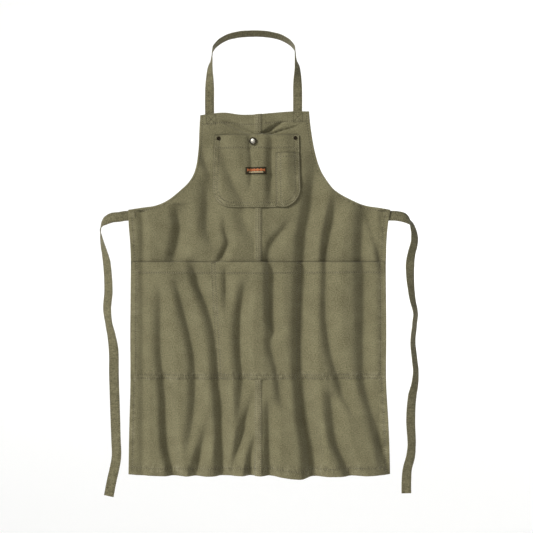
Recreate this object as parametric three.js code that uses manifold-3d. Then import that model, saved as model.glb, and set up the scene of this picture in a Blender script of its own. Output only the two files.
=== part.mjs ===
// Canvas bib apron with a chest pocket, a pencil pocket, a three-part waist pocket and ties.
// Millimetres, +Z up, the front faces -Y. The origin is the middle of the neck strap's inner
// face, where the apron hangs on the back of a neck.
import * as THREE from 'three';
import { mergeVertices } from 'three/addons/utils/BufferGeometryUtils.js';
import Module from 'manifold-3d';

const wasm = await Module();
wasm.setup();

// Cloth and clearances
const CLOTH = 1.2; // one layer of canvas
const SEAT = 0.3; // between layers that share one grid
const PATCH_SEAT = 1.2; // between a patch with a grid of its own and the cloth under it
const LAP_SEAT = 0.4; // between the two panels at the centre seam
const TRIM_SEAT = 1.1; // between metal trim and the cloth it clamps
const LAP_MARGIN = 16; // a pocket begins to rise over the seam's lap this far from it
const LAP_RAMP = 15; // and has risen this much further on
const HEM_STEP = 1.5; // width of the step where a turned hem begins

// The body
const BODY_LENGTH = 858; // top of the bib to the bottom hem
const BODY_WIDTH = 607.6; // across the waist
const BODY_SHIFT = 2.9; // the body hangs a little to its right of the neck
const BIB_WIDTH = 257.5; // across the top of the bib
const BIB_SHIFT = -5.4;
const ARMHOLE_DROP = 229; // top of the bib to the tie corners
const STRAP_DROP = 203; // neck rest to the top of the bib
const NECK_DEPTH = 105; // neck rest to the front of the bib
const SIDE_SET_BACK = 14; // the sides hang this far behind the middle
const BIB_LEAN = 14; // the top of the bib leans back by this
const FOLD_DEPTH = 35;
const WALL_LEAD = 0.66; // share of a fold's steep side that lies before its path
const WALL_POWER = 1.5; // how late on its steep side a fold turns away

// Hems and the felled centre seam
const TOP_HEM = 26;
const BOTTOM_HEM = 20;
const SIDE_HEM = 12;
const BIB_HEM = 9;
const SEAM_WIDTH = 15.5;
const SEAM_EDGE_X = 11.5; // folded edge of the lap

// The waist pocket
const WAIST_POCKET_TOP = 352; // below the top of the bib
const WAIST_POCKET_LENGTH = 277;
const WAIST_POCKET_HEM = 28;
const WAIST_POCKET_INSET = 4; // in from the apron's side edge
const WAIST_POCKET_GAPE = 13;

// The chest pocket and what is on it
const BIB_POCKET_TOP = 53; // below the top of the bib
const BIB_POCKET_LENGTH = 171;
const BIB_POCKET_WIDTH = 206;
const BIB_POCKET_X = -0.5;
const BIB_POCKET_HEM = 33;
const BIB_POCKET_CORNER = 34;
const BIB_POCKET_GAPE = 11;
const PENCIL_POCKET_WIDTH = 56;
const PENCIL_POCKET_TOP = 43; // below the mouth of the chest pocket
const PENCIL_POCKET_GAPE = 8;
const PENCIL_POCKET_INSET = 1.5;
const PENCIL_FIRST_ROW = 8; // least depth of the first row of its grid
const LABEL_WIDTH = 46.5;
const LABEL_HEIGHT = 17.5;
const LABEL_X = -4;
const LABEL_DROP = 85; // mouth of the chest pocket to the middle of the label
const LABEL_THICKNESS = 0.8;

// Metal trim
const BUTTON_RADIUS = 9;
const BUTTON_HEIGHT = 4.5;
const BUTTON_X = -7;
const BUTTON_DROP = 15; // below the mouth of the chest pocket
const BUTTON_SHANK_RADIUS = 2;
const BUTTON_BACK_RADIUS = 4.5;
const BUTTONHOLE_WIDTH = 5.2;
const BUTTONHOLE_LENGTH = 25;
const RIVET_RADIUS = 4.6;
const RIVET_HEIGHT = 1.8;
const RIVET_SHANK_RADIUS = 1.5;
const RIVET_INSET = 8.5; // in from the chest pocket's side edge
const RIVET_DROP = 8;
const TRIM_BACK_THICKNESS = 1;
const SHANK_CLEARANCE = 0.3;

// Strap and ties
const STRAP_WIDTH = 21.5;
const STRAP_THICKNESS = 2;
const STRAP_SPREAD = 208.4; // between the two legs
const STRAP_SHIFT = -8.2;
const STRAP_OVERLAP = 27; // sewn behind the bib
const TIE_WIDTH = 23.5;
const TIE_THICKNESS = 2;
const TIE_REACH = 67.5; // how far a tie swings out from its corner
const TIE_FALL = 663; // from the corner to the tie's free end
const TIE_SWAY = 14; // how far a tie moves front to back
const TIE_OVERLAP = 17; // sewn behind the corner
const TIE_SEAT_DROP = 14; // below the armhole corner

const BIB_TOP_Z = -STRAP_DROP;
const HEM_Z = BIB_TOP_Z - BODY_LENGTH;
const POCKET_MOUTH_Z = BIB_TOP_Z - WAIST_POCKET_TOP;
const POCKET_FOOT_Z = POCKET_MOUTH_Z - WAIST_POCKET_LENGTH;
const HALF_BODY = BODY_WIDTH / 2;
const LAP_START_X = SEAM_EDGE_X - SEAM_WIDTH;
const LAP_BACK = CLOTH / 2 + LAP_SEAT;
const LAP_FRONT = LAP_BACK + 1.5 * CLOTH;

// Side edges: down as a share of the body's length, left and right as shares of half its width
const SIDE_LINE = [
  [0.268, -1.012, 1.027],
  [0.31, -1.008, 1.008],
  [0.36, -0.996, 0.996],
  [0.42, -0.991, 0.992],
  [0.60, -0.996, 0.996],
  [0.74, -0.995, 0.995],
  [0.87, -1.004, 1.015],
  [1.0, -1.01, 1.032],
];

// Armholes: down as a share of the drop to the tie corner, and across on the left and on the right
// as shares of the way from the bib's edge to that corner
const ARMHOLE = [
  [0, 0, 0],
  [0.17, 0.012, 0.02],
  [0.40, 0.024, 0.068],
  [0.585, 0.066, 0.136],
  [0.70, 0.138, 0.214],
  [0.80, 0.27, 0.313],
  [0.905, 0.45, 0.53],
  [0.958, 0.62, 0.70],
  [0.978, 0.80, 0.85],
  [1, 1, 1],
];
const ARMHOLE_JOINT = 0.70; // down share where the bib's columns meet the armhole

// The bib's top edge: across as a share of its width from the left, lift as a share of its hem
const TOP_LINE = [
  [0, -0.20],
  [0.13, -0.03],
  [0.23, 0.03],
  [0.37, -0.16],
  [0.50, -0.14],
  [0.66, 0.0],
  [0.86, 0.14],
  [1, 0.15],
];

// The bottom edge: across as a share of half the width, drop as a share of the bottom hem
const HEM_LINE = [
  [-1.01, -0.20],
  [-0.85, -0.05],
  [-0.5, 0],
  [0.1, -0.05],
  [0.26, 0.28],
  [0.35, 0.34],
  [0.46, 0.10],
  [0.75, 0.05],
  [1.03, -0.10],
];

// Folds: each wall that turns from the light, with the widths of its steep and easy sides as
// shares of half the body's width. A path's columns are down as a share of the body's length,
// across as a share of half its width, and drop as a share of the fold depth.
const FOLDS = [
  {
    steep: 0.095,
    ease: 0.1,
    path: [
      [0.07, -0.47, 0], [0.104, -0.44, 0.13], [0.187, -0.38, 0.14], [0.25, -0.33, 0],
    ],
  },
  {
    steep: 0.12,
    ease: 0.11,
    path: [
      [0.05, -0.15, 0], [0.08, -0.148, 0.12], [0.15, -0.16, 0.18], [0.2, -0.13, 0.18],
      [0.25, -0.105, 0.12], [0.31, -0.08, 0],
    ],
  },
  {
    steep: 0.095,
    ease: 0.12,
    path: [
      [0.02, 0.1, 0], [0.06, 0.1, 0.22], [0.132, 0.097, 0.3], [0.2, 0.09, 0.3], [0.25, 0.08, 0.12],
      [0.28, 0.07, 0],
    ],
  },
  {
    steep: 0.115,
    ease: 0.15,
    path: [
      [0.08, 0.41, 0], [0.125, 0.405, 0.16], [0.176, 0.4, 0.28], [0.234, 0.372, 0.44],
      [0.258, 0.362, 0.5], [0.324, 0.327, 0.55], [0.401, 0.311, 0.6], [0.571, 0.292, 0.6],
      [0.68, 0.288, 0.64], [0.77, 0.303, 0.74], [0.846, 0.325, 0.84], [0.9, 0.352, 0.88],
      [0.956, 0.368, 0.92], [1, 0.375, 0.92],
    ],
  },
  {
    steep: 0.12,
    ease: 0.13,
    path: [
      [0.165, -0.46, 0], [0.2, -0.44, 0.26], [0.25, -0.43, 0.4], [0.313, -0.436, 0.4],
      [0.346, -0.412, 0.26], [0.374, -0.381, 0.12], [0.4, -0.35, 0],
    ],
  },
  {
    steep: 0.11,
    ease: 0.14,
    path: [
      [0.25, -0.67, 0.1], [0.275, -0.661, 0.4], [0.313, -0.646, 0.52], [0.352, -0.661, 0.48],
      [0.39, -0.685, 0.44], [0.412, -0.685, 0.26], [0.44, -0.68, 0],
    ],
  },
  {
    steep: 0.068,
    ease: 0.08,
    path: [
      [0.26, -0.288, 0], [0.297, -0.288, 0.14], [0.324, -0.28, 0.26], [0.357, -0.257, 0.34],
      [0.379, -0.28, 0.34], [0.401, -0.311, 0.3], [0.418, -0.33, 0],
    ],
  },
  {
    steep: 0.12,
    ease: 0.1,
    path: [
      [0.262, -0.2, 0], [0.28, -0.183, 0.16], [0.33, -0.11, 0.22], [0.368, -0.054, 0.12],
      [0.39, -0.03, 0],
    ],
  },
  {
    steep: 0.08,
    ease: 0.12,
    path: [
      [0.28, 0.233, 0], [0.313, 0.187, 0.16], [0.357, 0.086, 0.26], [0.401, 0.05, 0.3],
      [0.43, 0.06, 0.42], [0.516, 0.062, 0.5], [0.577, 0.07, 0.5], [0.599, 0.088, 0.42],
      [0.621, 0.066, 0.3], [0.654, 0.078, 0.3], [0.72, 0.125, 0.3], [0.786, 0.15, 0.24],
      [0.83, 0.17, 0],
    ],
  },
  {
    steep: 0.095,
    ease: 0.13,
    path: [
      [0.2, 0.568, 0], [0.234, 0.564, 0.16], [0.275, 0.552, 0.44], [0.324, 0.521, 0.5],
      [0.374, 0.498, 0.5], [0.401, 0.494, 0.46], [0.46, 0.496, 0.38], [0.549, 0.494, 0.38],
      [0.626, 0.516, 0.38], [0.692, 0.556, 0.38], [0.736, 0.6, 0.36], [0.79, 0.65, 0.34],
      [0.82, 0.69, 0.2], [0.84, 0.71, 0],
    ],
  },
  {
    steep: 0.1,
    ease: 0.13,
    path: [
      [0.74, 0.53, 0], [0.765, 0.53, 0.16], [0.79, 0.533, 0.36], [0.9, 0.568, 0.52],
      [0.956, 0.635, 0.56], [1, 0.69, 0.6],
    ],
  },
  {
    steep: 0.095,
    ease: 0.13,
    path: [
      [0.24, 0.778, 0.15], [0.275, 0.77, 0.38], [0.313, 0.763, 0.4], [0.379, 0.732, 0.38],
      [0.423, 0.728, 0.26], [0.489, 0.74, 0.26], [0.571, 0.739, 0.28], [0.67, 0.753, 0.34],
      [0.731, 0.77, 0.38], [0.769, 0.794, 0.42], [0.791, 0.825, 0.44], [0.9, 0.912, 0.5],
      [0.956, 0.96, 0.5], [1, 1.0, 0.5],
    ],
  },
  {
    steep: 0.068,
    ease: 0.07,
    path: [
      [0.264, 0.817, 0], [0.286, 0.84, 0.17], [0.352, 0.887, 0.22], [0.396, 0.918, 0.2],
      [0.43, 0.935, 0],
    ],
  },
  {
    steep: 0.088,
    ease: 0.12,
    path: [
      [0.467, -0.79, 0], [0.5, -0.786, 0.2], [0.571, -0.786, 0.32], [0.654, -0.786, 0.36],
      [0.714, -0.772, 0.4], [0.791, -0.755, 0.48], [0.901, -0.745, 0.54], [0.956, -0.716, 0.54],
      [1, -0.69, 0.54],
    ],
  },
  {
    steep: 0.088,
    ease: 0.11,
    path: [
      [0.44, -0.677, 0], [0.478, -0.654, 0.28], [0.544, -0.607, 0.38], [0.6, -0.568, 0.4],
      [0.67, -0.529, 0.38], [0.714, -0.521, 0.36], [0.79, -0.521, 0.38], [0.846, -0.535, 0.32],
      [0.9, -0.56, 0.22], [0.95, -0.58, 0],
    ],
  },
  {
    steep: 0.088,
    ease: 0.1,
    path: [
      [0.82, -0.42, 0], [0.893, -0.45, 0.34], [0.956, -0.494, 0.5], [1, -0.52, 0.5],
    ],
  },
  {
    steep: 0.088,
    ease: 0.11,
    path: [
      [0.39, -0.56, 0], [0.418, -0.541, 0.22], [0.44, -0.525, 0.4], [0.4725, -0.498, 0.45],
      [0.51, -0.451, 0.42], [0.549, -0.412, 0.4], [0.588, -0.381, 0.4], [0.626, -0.366, 0.42],
      [0.714, -0.346, 0.46], [0.79, -0.325, 0.56], [0.9, -0.318, 0.6], [1, -0.315, 0.62],
    ],
  },
  {
    steep: 0.068,
    ease: 0.08,
    path: [
      [0.41, -0.275, 0], [0.44, -0.273, 0.22], [0.49, -0.272, 0.28], [0.53, -0.272, 0.12],
      [0.55, -0.27, 0],
    ],
  },
  {
    steep: 0.095,
    ease: 0.11,
    path: [
      [0.448, -0.12, 0], [0.478, -0.136, 0.26], [0.527, -0.16, 0.42], [0.599, -0.176, 0.48],
      [0.681, -0.17, 0.48], [0.725, -0.155, 0.44], [0.79, -0.165, 0.34], [0.83, -0.17, 0.2],
      [0.86, -0.175, 0],
    ],
  },
  {
    steep: 0.08,
    ease: 0.1,
    path: [
      [0.74, -0.03, 0], [0.827, -0.106, 0.36], [0.88, -0.15, 0.46], [1, -0.24, 0.3],
    ],
  },
  { steep: 0.075, ease: 0.09, path: [[0.87, -0.035, 0], [0.945, -0.085, 0.42], [1, -0.09, 0.56]] },
  { steep: 0.068, ease: 0.1, path: [[0.78, 0.055, 0], [0.82, 0.058, 0.24], [1, 0.058, 0.45]] },
];

// Seams between the waist pocket's compartments: across shares at the mouth and at the foot
const DIVIDERS = [
  [-1, -1],
  [-0.348, -0.297],
  [0.309, 0.309],
  [1, 1],
];

// One side of the neck strap from the bib to the back of the neck. The columns are across as a
// share of half the spread, back as a share of the neck depth, up as a share of the strap drop,
// the turn of its outer face from the front to the back in degrees, and the face's lean upwards.
const STRAP_ROUTE = [
  [1.0, 0, 0.14, 0, 0],
  [0.998, 0, 0.28, 8, 0],
  [0.997, 0.01, 0.375, 26, 0],
  [0.998, 0.04, 0.47, 44, 0],
  [0.992, 0.09, 0.545, 55, 0],
  [0.972, 0.17, 0.62, 69, 0],
  [0.96, 0.29, 0.675, 80, 2],
  [0.952, 0.45, 0.73, 87, 5],
  [0.951, 0.62, 0.778, 93, 10],
  [0.915, 0.79, 0.832, 108, 30],
  [0.82, 0.90, 0.89, 130, 48],
  [0.63, 0.965, 0.95, 158, 58],
  [0.42, 0.99, 0.981, 171, 57],
  [0.2, 1, 0.996, 177, 55],
];

// The hanging ties: reach as a share of the tie's reach, fall as a share of its fall, sway as a
// share of its sway, and the turn of its face from the front to the outside in degrees.
const LEFT_TIE_ROUTE = [
  [0.14, 0.001, 0, 0],
  [0.30, 0.004, 0, 4],
  [0.57, 0.007, 0.1, 28],
  [0.765, 0.015, 0.3, 58],
  [0.897, 0.024, 0.6, 78],
  [0.975, 0.037, 0.9, 85],
  [1, 0.051, 1, 86],
  [0.982, 0.074, 1, 74],
  [0.932, 0.099, 0.9, 63],
  [0.854, 0.128, 0.8, 52],
  [0.765, 0.17, 0.6, 34],
  [0.7, 0.267, 0.3, 26],
  [0.747, 0.331, 0.3, 30],
  [0.694, 0.384, 0.4, 40],
  [0.6, 0.427, 0.4, 28],
  [0.52, 0.48, 0.3, 8],
  [0.505, 0.57, 0.2, 5],
  [0.473, 0.676, 0.2, 6],
  [0.434, 0.8, 0.2, 12],
  [0.416, 0.858, 0.1, 12],
  [0.473, 0.897, 0, 10],
  [0.57, 0.94, 0, 8],
  [0.685, 1, 0, 6],
];
const RIGHT_TIE_ROUTE = [
  [0.12, 0, 0, 0],
  [0.25, 0.001, 0, 12],
  [0.48, 0.006, 0.2, 48],
  [0.61, 0.013, 0.5, 72],
  [0.705, 0.022, 0.8, 84],
  [0.795, 0.036, 1, 62],
  [0.85, 0.054, 1, 50],
  [0.875, 0.076, 0.9, 40],
  [0.854, 0.1, 0.8, 38],
  [0.765, 0.133, 0.6, 35],
  [0.705, 0.176, 0.5, 24],
  [0.74, 0.262, 0.3, 42],
  [0.8, 0.304, 0.2, 50],
  [0.89, 0.347, 0.1, 57],
  [0.854, 0.39, 0.2, 56],
  [0.805, 0.45, 0.4, 53],
  [0.868, 0.518, 0.3, 52],
  [0.9, 0.56, 0.2, 50],
  [0.86, 0.603, 0.2, 40],
  [0.772, 0.646, 0.2, 25],
  [0.722, 0.732, 0.2, 20],
  [0.754, 0.817, 0.1, 30],
  [0.71, 0.86, 0, 20],
  [0.6, 0.903, 0, 18],
  [0.566, 0.946, 0, 8],
  [0.566, 0.99, 0, 8],
];

const material = (name, colour, roughness, metalness = 0) =>
  new THREE.MeshStandardMaterial({ name, color: colour, roughness, metalness });
const CANVAS = material('washed_canvas', 0x827a5e, 0.95);
const WEBBING = material('canvas_webbing', 0x776f55, 0.95);
const WOVEN_LABEL = material('woven_label', 0x3a3526, 0.9);
const BUTTON_METAL = material('nickel_button', 0xb9b7ae, 0.35, 1);
const RIVET_METAL = material('oxidised_brass', 0x3c342a, 0.5, 1);

const clamp = (value, low = 0, high = 1) => Math.min(high, Math.max(low, value));
const ease = (share) => clamp(share) ** 2 * (3 - 2 * clamp(share));
const lerp = (from, to, share) => from + (to - from) * share;
const steps = (count) => Array.from({ length: count + 1 }, (_, k) => k / count);

// A smooth reading of one column of a table whose first column rises
function read(table, column, at) {
  const last = table.length - 1;
  const place = clamp(at, table[0][0], table[last][0]);
  let row = 0;
  while (row < last - 1 && place > table[row + 1][0]) row += 1;
  const near = [row - 1, row, row + 1, row + 2];
  const [before, from, to, after] = near.map((k) => table[clamp(k, 0, last)]);
  const span = to[0] - from[0];
  const share = (place - from[0]) / span;
  const slopeIn = ((to[column] - before[column]) / (to[0] - before[0])) * span;
  const slopeOut = ((after[column] - from[column]) / (after[0] - from[0])) * span;
  const square = share * share;
  const cube = square * share;
  return from[column] * (2 * cube - 3 * square + 1) + to[column] * (3 * square - 2 * cube)
    + slopeIn * (cube - 2 * square + share) + slopeOut * (cube - square);
}

const downShare = (z) => (BIB_TOP_Z - z) / BODY_LENGTH;
const acrossShare = (x) => (x - BODY_SHIFT) / HALF_BODY;
const bodyX = (across) => BODY_SHIFT + across * HALF_BODY;

// How far back the folds take the cloth at one place
function foldDepth(across, down) {
  let depth = 0;
  for (const { steep, ease: easy, path } of FOLDS) {
    if (down < path[0][0]) continue;
    const past = across - read(path, 1, down) + WALL_LEAD * steep;
    if (past <= 0 || past >= steep + easy) continue;
    const drop = Math.max(0, read(path, 2, down)) * FOLD_DEPTH;
    const rise = clamp(past / steep) ** WALL_POWER;
    depth += drop * (past < steep ? ease(rise) : 1 - ease((past - steep) / easy));
  }
  return depth;
}

// Middle surface of the body's cloth
function clothY(x, z) {
  const across = acrossShare(x);
  const down = downShare(z);
  const lean = BIB_LEAN * Math.max(0, 1 - down / SIDE_LINE[0][0]) ** 2;
  return -NECK_DEPTH + SIDE_SET_BACK * across * across + lean + foldDepth(across, down);
}

// The point that lies a given distance in front of the cloth's middle surface, lifted further
// straight to the front where a pocket gapes
function clothPoint(x, z, front = 0, lift = 0) {
  const probe = 1;
  const slopeX = (clothY(x + probe, z) - clothY(x - probe, z)) / (2 * probe);
  const slopeZ = (clothY(x, z + probe) - clothY(x, z - probe)) / (2 * probe);
  const normal = new THREE.Vector3(slopeX, -1, slopeZ).normalize();
  return new THREE.Vector3(x, clothY(x, z) - lift, z).addScaledVector(normal, front);
}

const bibEdge = (side) => BIB_SHIFT + (side * BIB_WIDTH) / 2;
const sideX = (side, z) => bodyX(read(SIDE_LINE, side < 0 ? 1 : 2, downShare(z)));
const cornerX = (side) => bodyX(SIDE_LINE[0][side < 0 ? 1 : 2]);
const armholeZ = (side, x) => {
  const across = (x - bibEdge(side)) / (cornerX(side) - bibEdge(side));
  const turned = ARMHOLE.map(([down, left, right]) => [side < 0 ? left : right, down]);
  return BIB_TOP_Z - ARMHOLE_DROP * read(turned, 1, across);
};
const armholeX = (side, z) => {
  const across = read(ARMHOLE, side < 0 ? 1 : 2, (BIB_TOP_Z - z) / ARMHOLE_DROP);
  return lerp(bibEdge(side), cornerX(side), across);
};
const JOINT_Z = BIB_TOP_Z - ARMHOLE_DROP * ARMHOLE_JOINT;
const jointX = (side) => armholeX(side, JOINT_Z);
const topZ = (x) => BIB_TOP_Z + TOP_HEM * read(TOP_LINE, 1, (x - bibEdge(-1)) / BIB_WIDTH);
const hemZ = (x) => HEM_Z - BOTTOM_HEM * read(HEM_LINE, 1, acrossShare(x));

// Counts of the body's grid
const BIB_ROWS = 6;
const CHEST_ROWS = 4;
const POCKET_ROWS = 6;
const SKIRT_ROWS = 4;
const WING_COLUMNS = 11;
const BIB_COLUMNS = 12;
const ARM_ROW = BIB_ROWS + 2; // the row that follows the armholes
const POCKET_ROW = ARM_ROW + CHEST_ROWS + 2;
const FOOT_ROW = POCKET_ROW + POCKET_ROWS + 1;
const LAST_ROW = FOOT_ROW + SKIRT_ROWS + 1;

// Height of a row of the body's grid. Rows between the bib's top and the armhole joint serve the
// bib alone, the next ones spread from the armholes to the pocket's mouth, and the rest are level.
function rowZ(row, x, topOfWing) {
  if (row < ARM_ROW) {
    const top = topZ(x);
    const hem = top - TOP_HEM;
    if (row === 0) return top;
    if (row === 1) return hem + HEM_STEP;
    return lerp(hem, JOINT_Z, (row - 2) / (ARM_ROW - 2));
  }
  if (row <= POCKET_ROW) {
    const top = topOfWing ?? JOINT_Z;
    const hem = top - BIB_HEM;
    if (row === ARM_ROW) return top;
    if (row === ARM_ROW + 1) return hem + HEM_STEP;
    return lerp(hem, POCKET_MOUTH_Z, (row - ARM_ROW - 2) / CHEST_ROWS);
  }
  if (row <= FOOT_ROW) {
    const hem = POCKET_MOUTH_Z - WAIST_POCKET_HEM;
    return lerp(hem, POCKET_FOOT_Z, (row - POCKET_ROW - 1) / POCKET_ROWS);
  }
  const bottom = hemZ(x);
  const inner = bottom + BOTTOM_HEM;
  if (row === LAST_ROW) return bottom;
  return lerp(POCKET_FOOT_Z, inner, (row - FOOT_ROW) / SKIRT_ROWS);
}

// How far in from an edge the columns beside it lie: on it, where its hem begins, and past that
function hemInset(column, hem) {
  const insets = [0, hem - HEM_STEP, hem];
  return insets[Math.min(column, insets.length - 1)];
}

// Place of one corner of the body's grid. Columns count from the side edge to the seam.
function gridPlace(side, column, row, innerX) {
  const joint = WING_COLUMNS + 2;
  if (column < joint) {
    const level = rowZ(row, 0, armholeZ(side, cornerX(side)));
    const outer = sideX(side, row >= ARM_ROW ? level : JOINT_Z);
    const inset = hemInset(column, SIDE_HEM);
    const share = Math.max(0, column - 2) / WING_COLUMNS;
    const x = lerp(outer - side * inset, jointX(side), share);
    const z = row < POCKET_ROW ? rowZ(row, x, armholeZ(side, x)) : rowZ(row, x);
    return [x, z];
  }
  const inBib = row < ARM_ROW;
  const guess = rowZ(row, bibEdge(side));
  const outer = inBib ? armholeX(side, guess) : jointX(side);
  const local = column - joint;
  const inset = hemInset(local, BIB_HEM);
  const x = lerp(outer - side * inset, innerX, Math.max(0, local - 2) / BIB_COLUMNS);
  return [x, rowZ(row, x)];
}

// A closed wall from a patch of grid cells. The front and back corners are given, and a wall
// closes the patch wherever a cell has no neighbour. Cells split along the same diagonal on both
// faces, so that layers with the same grid stay parallel; mirrored grids split along the other.
function wall(columns, rows, frontAt, backAt, mirrored = false, hasCell = () => true) {
  const points = [];
  const numbers = new Map();
  const corner = (column, row, back) => {
    const key = `${column},${row},${back}`;
    if (!numbers.has(key)) {
      numbers.set(key, points.length);
      points.push(back ? backAt(column, row) : frontAt(column, row));
    }
    return numbers.get(key);
  };
  const cellAt = (column, row) =>
    column >= 0 && row >= 0 && column < columns && row < rows && hasCell(column, row);
  const faces = [];
  const quad = (a, b, c, d) => faces.push(a, b, c, a, c, d);
  const turned = (a, b, c, d) => (mirrored ? quad(b, c, d, a) : quad(a, b, c, d));
  for (let column = 0; column < columns; column += 1) {
    for (let row = 0; row < rows; row += 1) {
      if (!cellAt(column, row)) continue;
      const ring = [[column, row], [column, row + 1], [column + 1, row + 1], [column + 1, row]];
      turned(...ring.map(([c, r]) => corner(c, r, false)));
      const [a, b, c, d] = ring.map(([at, level]) => corner(at, level, true));
      turned(a, d, c, b);
      const neighbours = [[column - 1, row], [column, row + 1], [column + 1, row], [column, row - 1]];
      neighbours.forEach((neighbour, edge) => {
        if (cellAt(...neighbour)) return;
        const [from, to] = [ring[edge], ring[(edge + 1) % 4]];
        quad(corner(...to, false), corner(...from, false), corner(...from, true), corner(...to, true));
      });
    }
  }
  return closedGeometry(points, faces);
}

function closedGeometry(points, faces) {
  const geometry = new THREE.BufferGeometry();
  const flat = points.flatMap((point) => [point.x, point.y, point.z]);
  geometry.setAttribute('position', new THREE.Float32BufferAttribute(flat, 3));
  geometry.setIndex(faces);
  return geometry;
}

// A strip of cloth with a flat section along stations of place and outward face
function ribbon(stations, width, thickness, count) {
  const path = new THREE.CatmullRomCurve3(stations.map(({ place }) => place), false, 'centripetal');
  const last = stations.length - 1;
  const rings = steps(count).map((share) => {
    const centre = path.getPoint(share);
    const tangent = path.getTangent(share);
    const from = Math.min(last - 1, Math.floor(share * last));
    const face = stations[from].face.clone().lerp(stations[from + 1].face, share * last - from);
    const across = new THREE.Vector3().crossVectors(tangent, face).normalize();
    const outward = new THREE.Vector3().crossVectors(across, tangent).normalize();
    return [[-1, -1], [1, -1], [1, 1], [-1, 1]].map(([w, t]) => centre.clone()
      .addScaledVector(across, (w * width) / 2)
      .addScaledVector(outward, (t * thickness) / 2));
  });
  const faces = [0, 1, 2, 0, 2, 3];
  for (let ring = 0; ring < count; ring += 1) {
    for (let edge = 0; edge < 4; edge += 1) {
      const [a, b] = [ring * 4 + edge, ring * 4 + ((edge + 1) % 4)];
      faces.push(a, a + 4, b, b, a + 4, b + 4);
    }
  }
  const end = count * 4;
  faces.push(end, end + 2, end + 1, end, end + 3, end + 2);
  return closedGeometry(rings.flat(), faces);
}

// Solids for booleans
function solidOf(geometry) {
  const plain = geometry.clone();
  const others = Object.keys(plain.attributes).filter((name) => name !== 'position');
  others.forEach((name) => plain.deleteAttribute(name));
  const merged = mergeVertices(plain, 1e-4);
  return new wasm.Manifold(new wasm.Mesh({
    numProp: 3,
    vertProperties: new Float32Array(merged.attributes.position.array),
    triVerts: new Uint32Array(merged.index.array),
  }));
}

function cut(geometry, tools) {
  const rest = tools.reduce((solid, tool) => solid.subtract(solidOf(tool)), solidOf(geometry));
  const { vertProperties, triVerts } = rest.getMesh();
  const result = new THREE.BufferGeometry();
  result.setAttribute('position', new THREE.Float32BufferAttribute(vertProperties, 3));
  result.setIndex([...triVerts]);
  return result;
}

const clothNormal = (x, z) => clothPoint(x, z, 1).sub(clothPoint(x, z));

// Turns a shape whose axis is +Y so that it stands out of the cloth at a place, and moves it there
function seatOnCloth(geometry, x, z) {
  const outward = clothNormal(x, z);
  const turn = new THREE.Quaternion().setFromUnitVectors(new THREE.Vector3(0, 1, 0), outward);
  const foot = clothPoint(x, z);
  return geometry.applyQuaternion(turn).translate(foot.x, foot.y, foot.z);
}

// Columns that every layer has across the lap
const LAP_LINES = [0, 0.25, 0.5].map((share) => LAP_START_X + share * SEAM_WIDTH);
function onLap(x) {
  const rise = ease((x - LAP_START_X + LAP_MARGIN) / LAP_RAMP);
  return rise * ease((SEAM_EDGE_X + LAP_MARGIN - x) / LAP_RAMP);
}

// The two body panels
const isHem = (column, row) => {
  const joint = WING_COLUMNS + 2;
  if (row <= 1 || row === LAST_ROW) return true;
  if (column <= 1) return true;
  if (column >= joint + 2) return false;
  return row === ARM_ROW || row === ARM_ROW + 1 || (row < ARM_ROW && column >= joint);
};

function bodyPanel(side) {
  const joint = WING_COLUMNS + 2;
  const inner = side < 0 ? LAP_START_X - HEM_STEP : SEAM_EDGE_X;
  const lastBib = joint + 2 + BIB_COLUMNS;
  const lapX = side < 0 ? [...LAP_LINES, SEAM_EDGE_X] : LAP_LINES.slice(1).reverse();
  const columns = lastBib + lapX.length;
  const place = (column, row) => {
    if (column <= lastBib) return gridPlace(side, column, row, inner);
    const x = lapX[column - lastBib - 1];
    return [x, rowZ(row, x)];
  };
  const raised = (column) => side < 0 && column > lastBib;
  const frontAt = (column, row) => {
    const [x, z] = place(column, row);
    return clothPoint(x, z, raised(column) ? LAP_FRONT : CLOTH / 2);
  };
  const backAt = (column, row) => {
    const [x, z] = place(column, row);
    const turned = isHem(column, row) && !raised(column) ? CLOTH : 0;
    return clothPoint(x, z, raised(column) ? LAP_BACK : -CLOTH / 2 - turned);
  };
  const hasCell = (column, row) => row >= ARM_ROW || column >= joint;
  const geometry = wall(columns, LAST_ROW, frontAt, backAt, side > 0, hasCell);
  return side < 0 ? geometry : flipped(geometry);
}

// Turns the faces of a mirrored grid outwards
function flipped(geometry) {
  const index = geometry.index.array;
  for (let k = 0; k < index.length; k += 3) [index[k], index[k + 1]] = [index[k + 1], index[k]];
  return geometry;
}

// The waist pocket shares the body's columns and rows, so its facets lie parallel to the body's
function pocketRise(across, down) {
  const at = DIVIDERS.map(([mouth, foot]) => lerp(mouth, foot, down));
  const cell = across < at[1] ? 0 : across < at[2] ? 1 : 2;
  const share = clamp((across - at[cell]) / (at[cell + 1] - at[cell]));
  const fullness = Math.sin(Math.PI * share) ** 2;
  return WAIST_POCKET_GAPE * fullness * (1 - down) ** 1.3;
}

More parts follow.
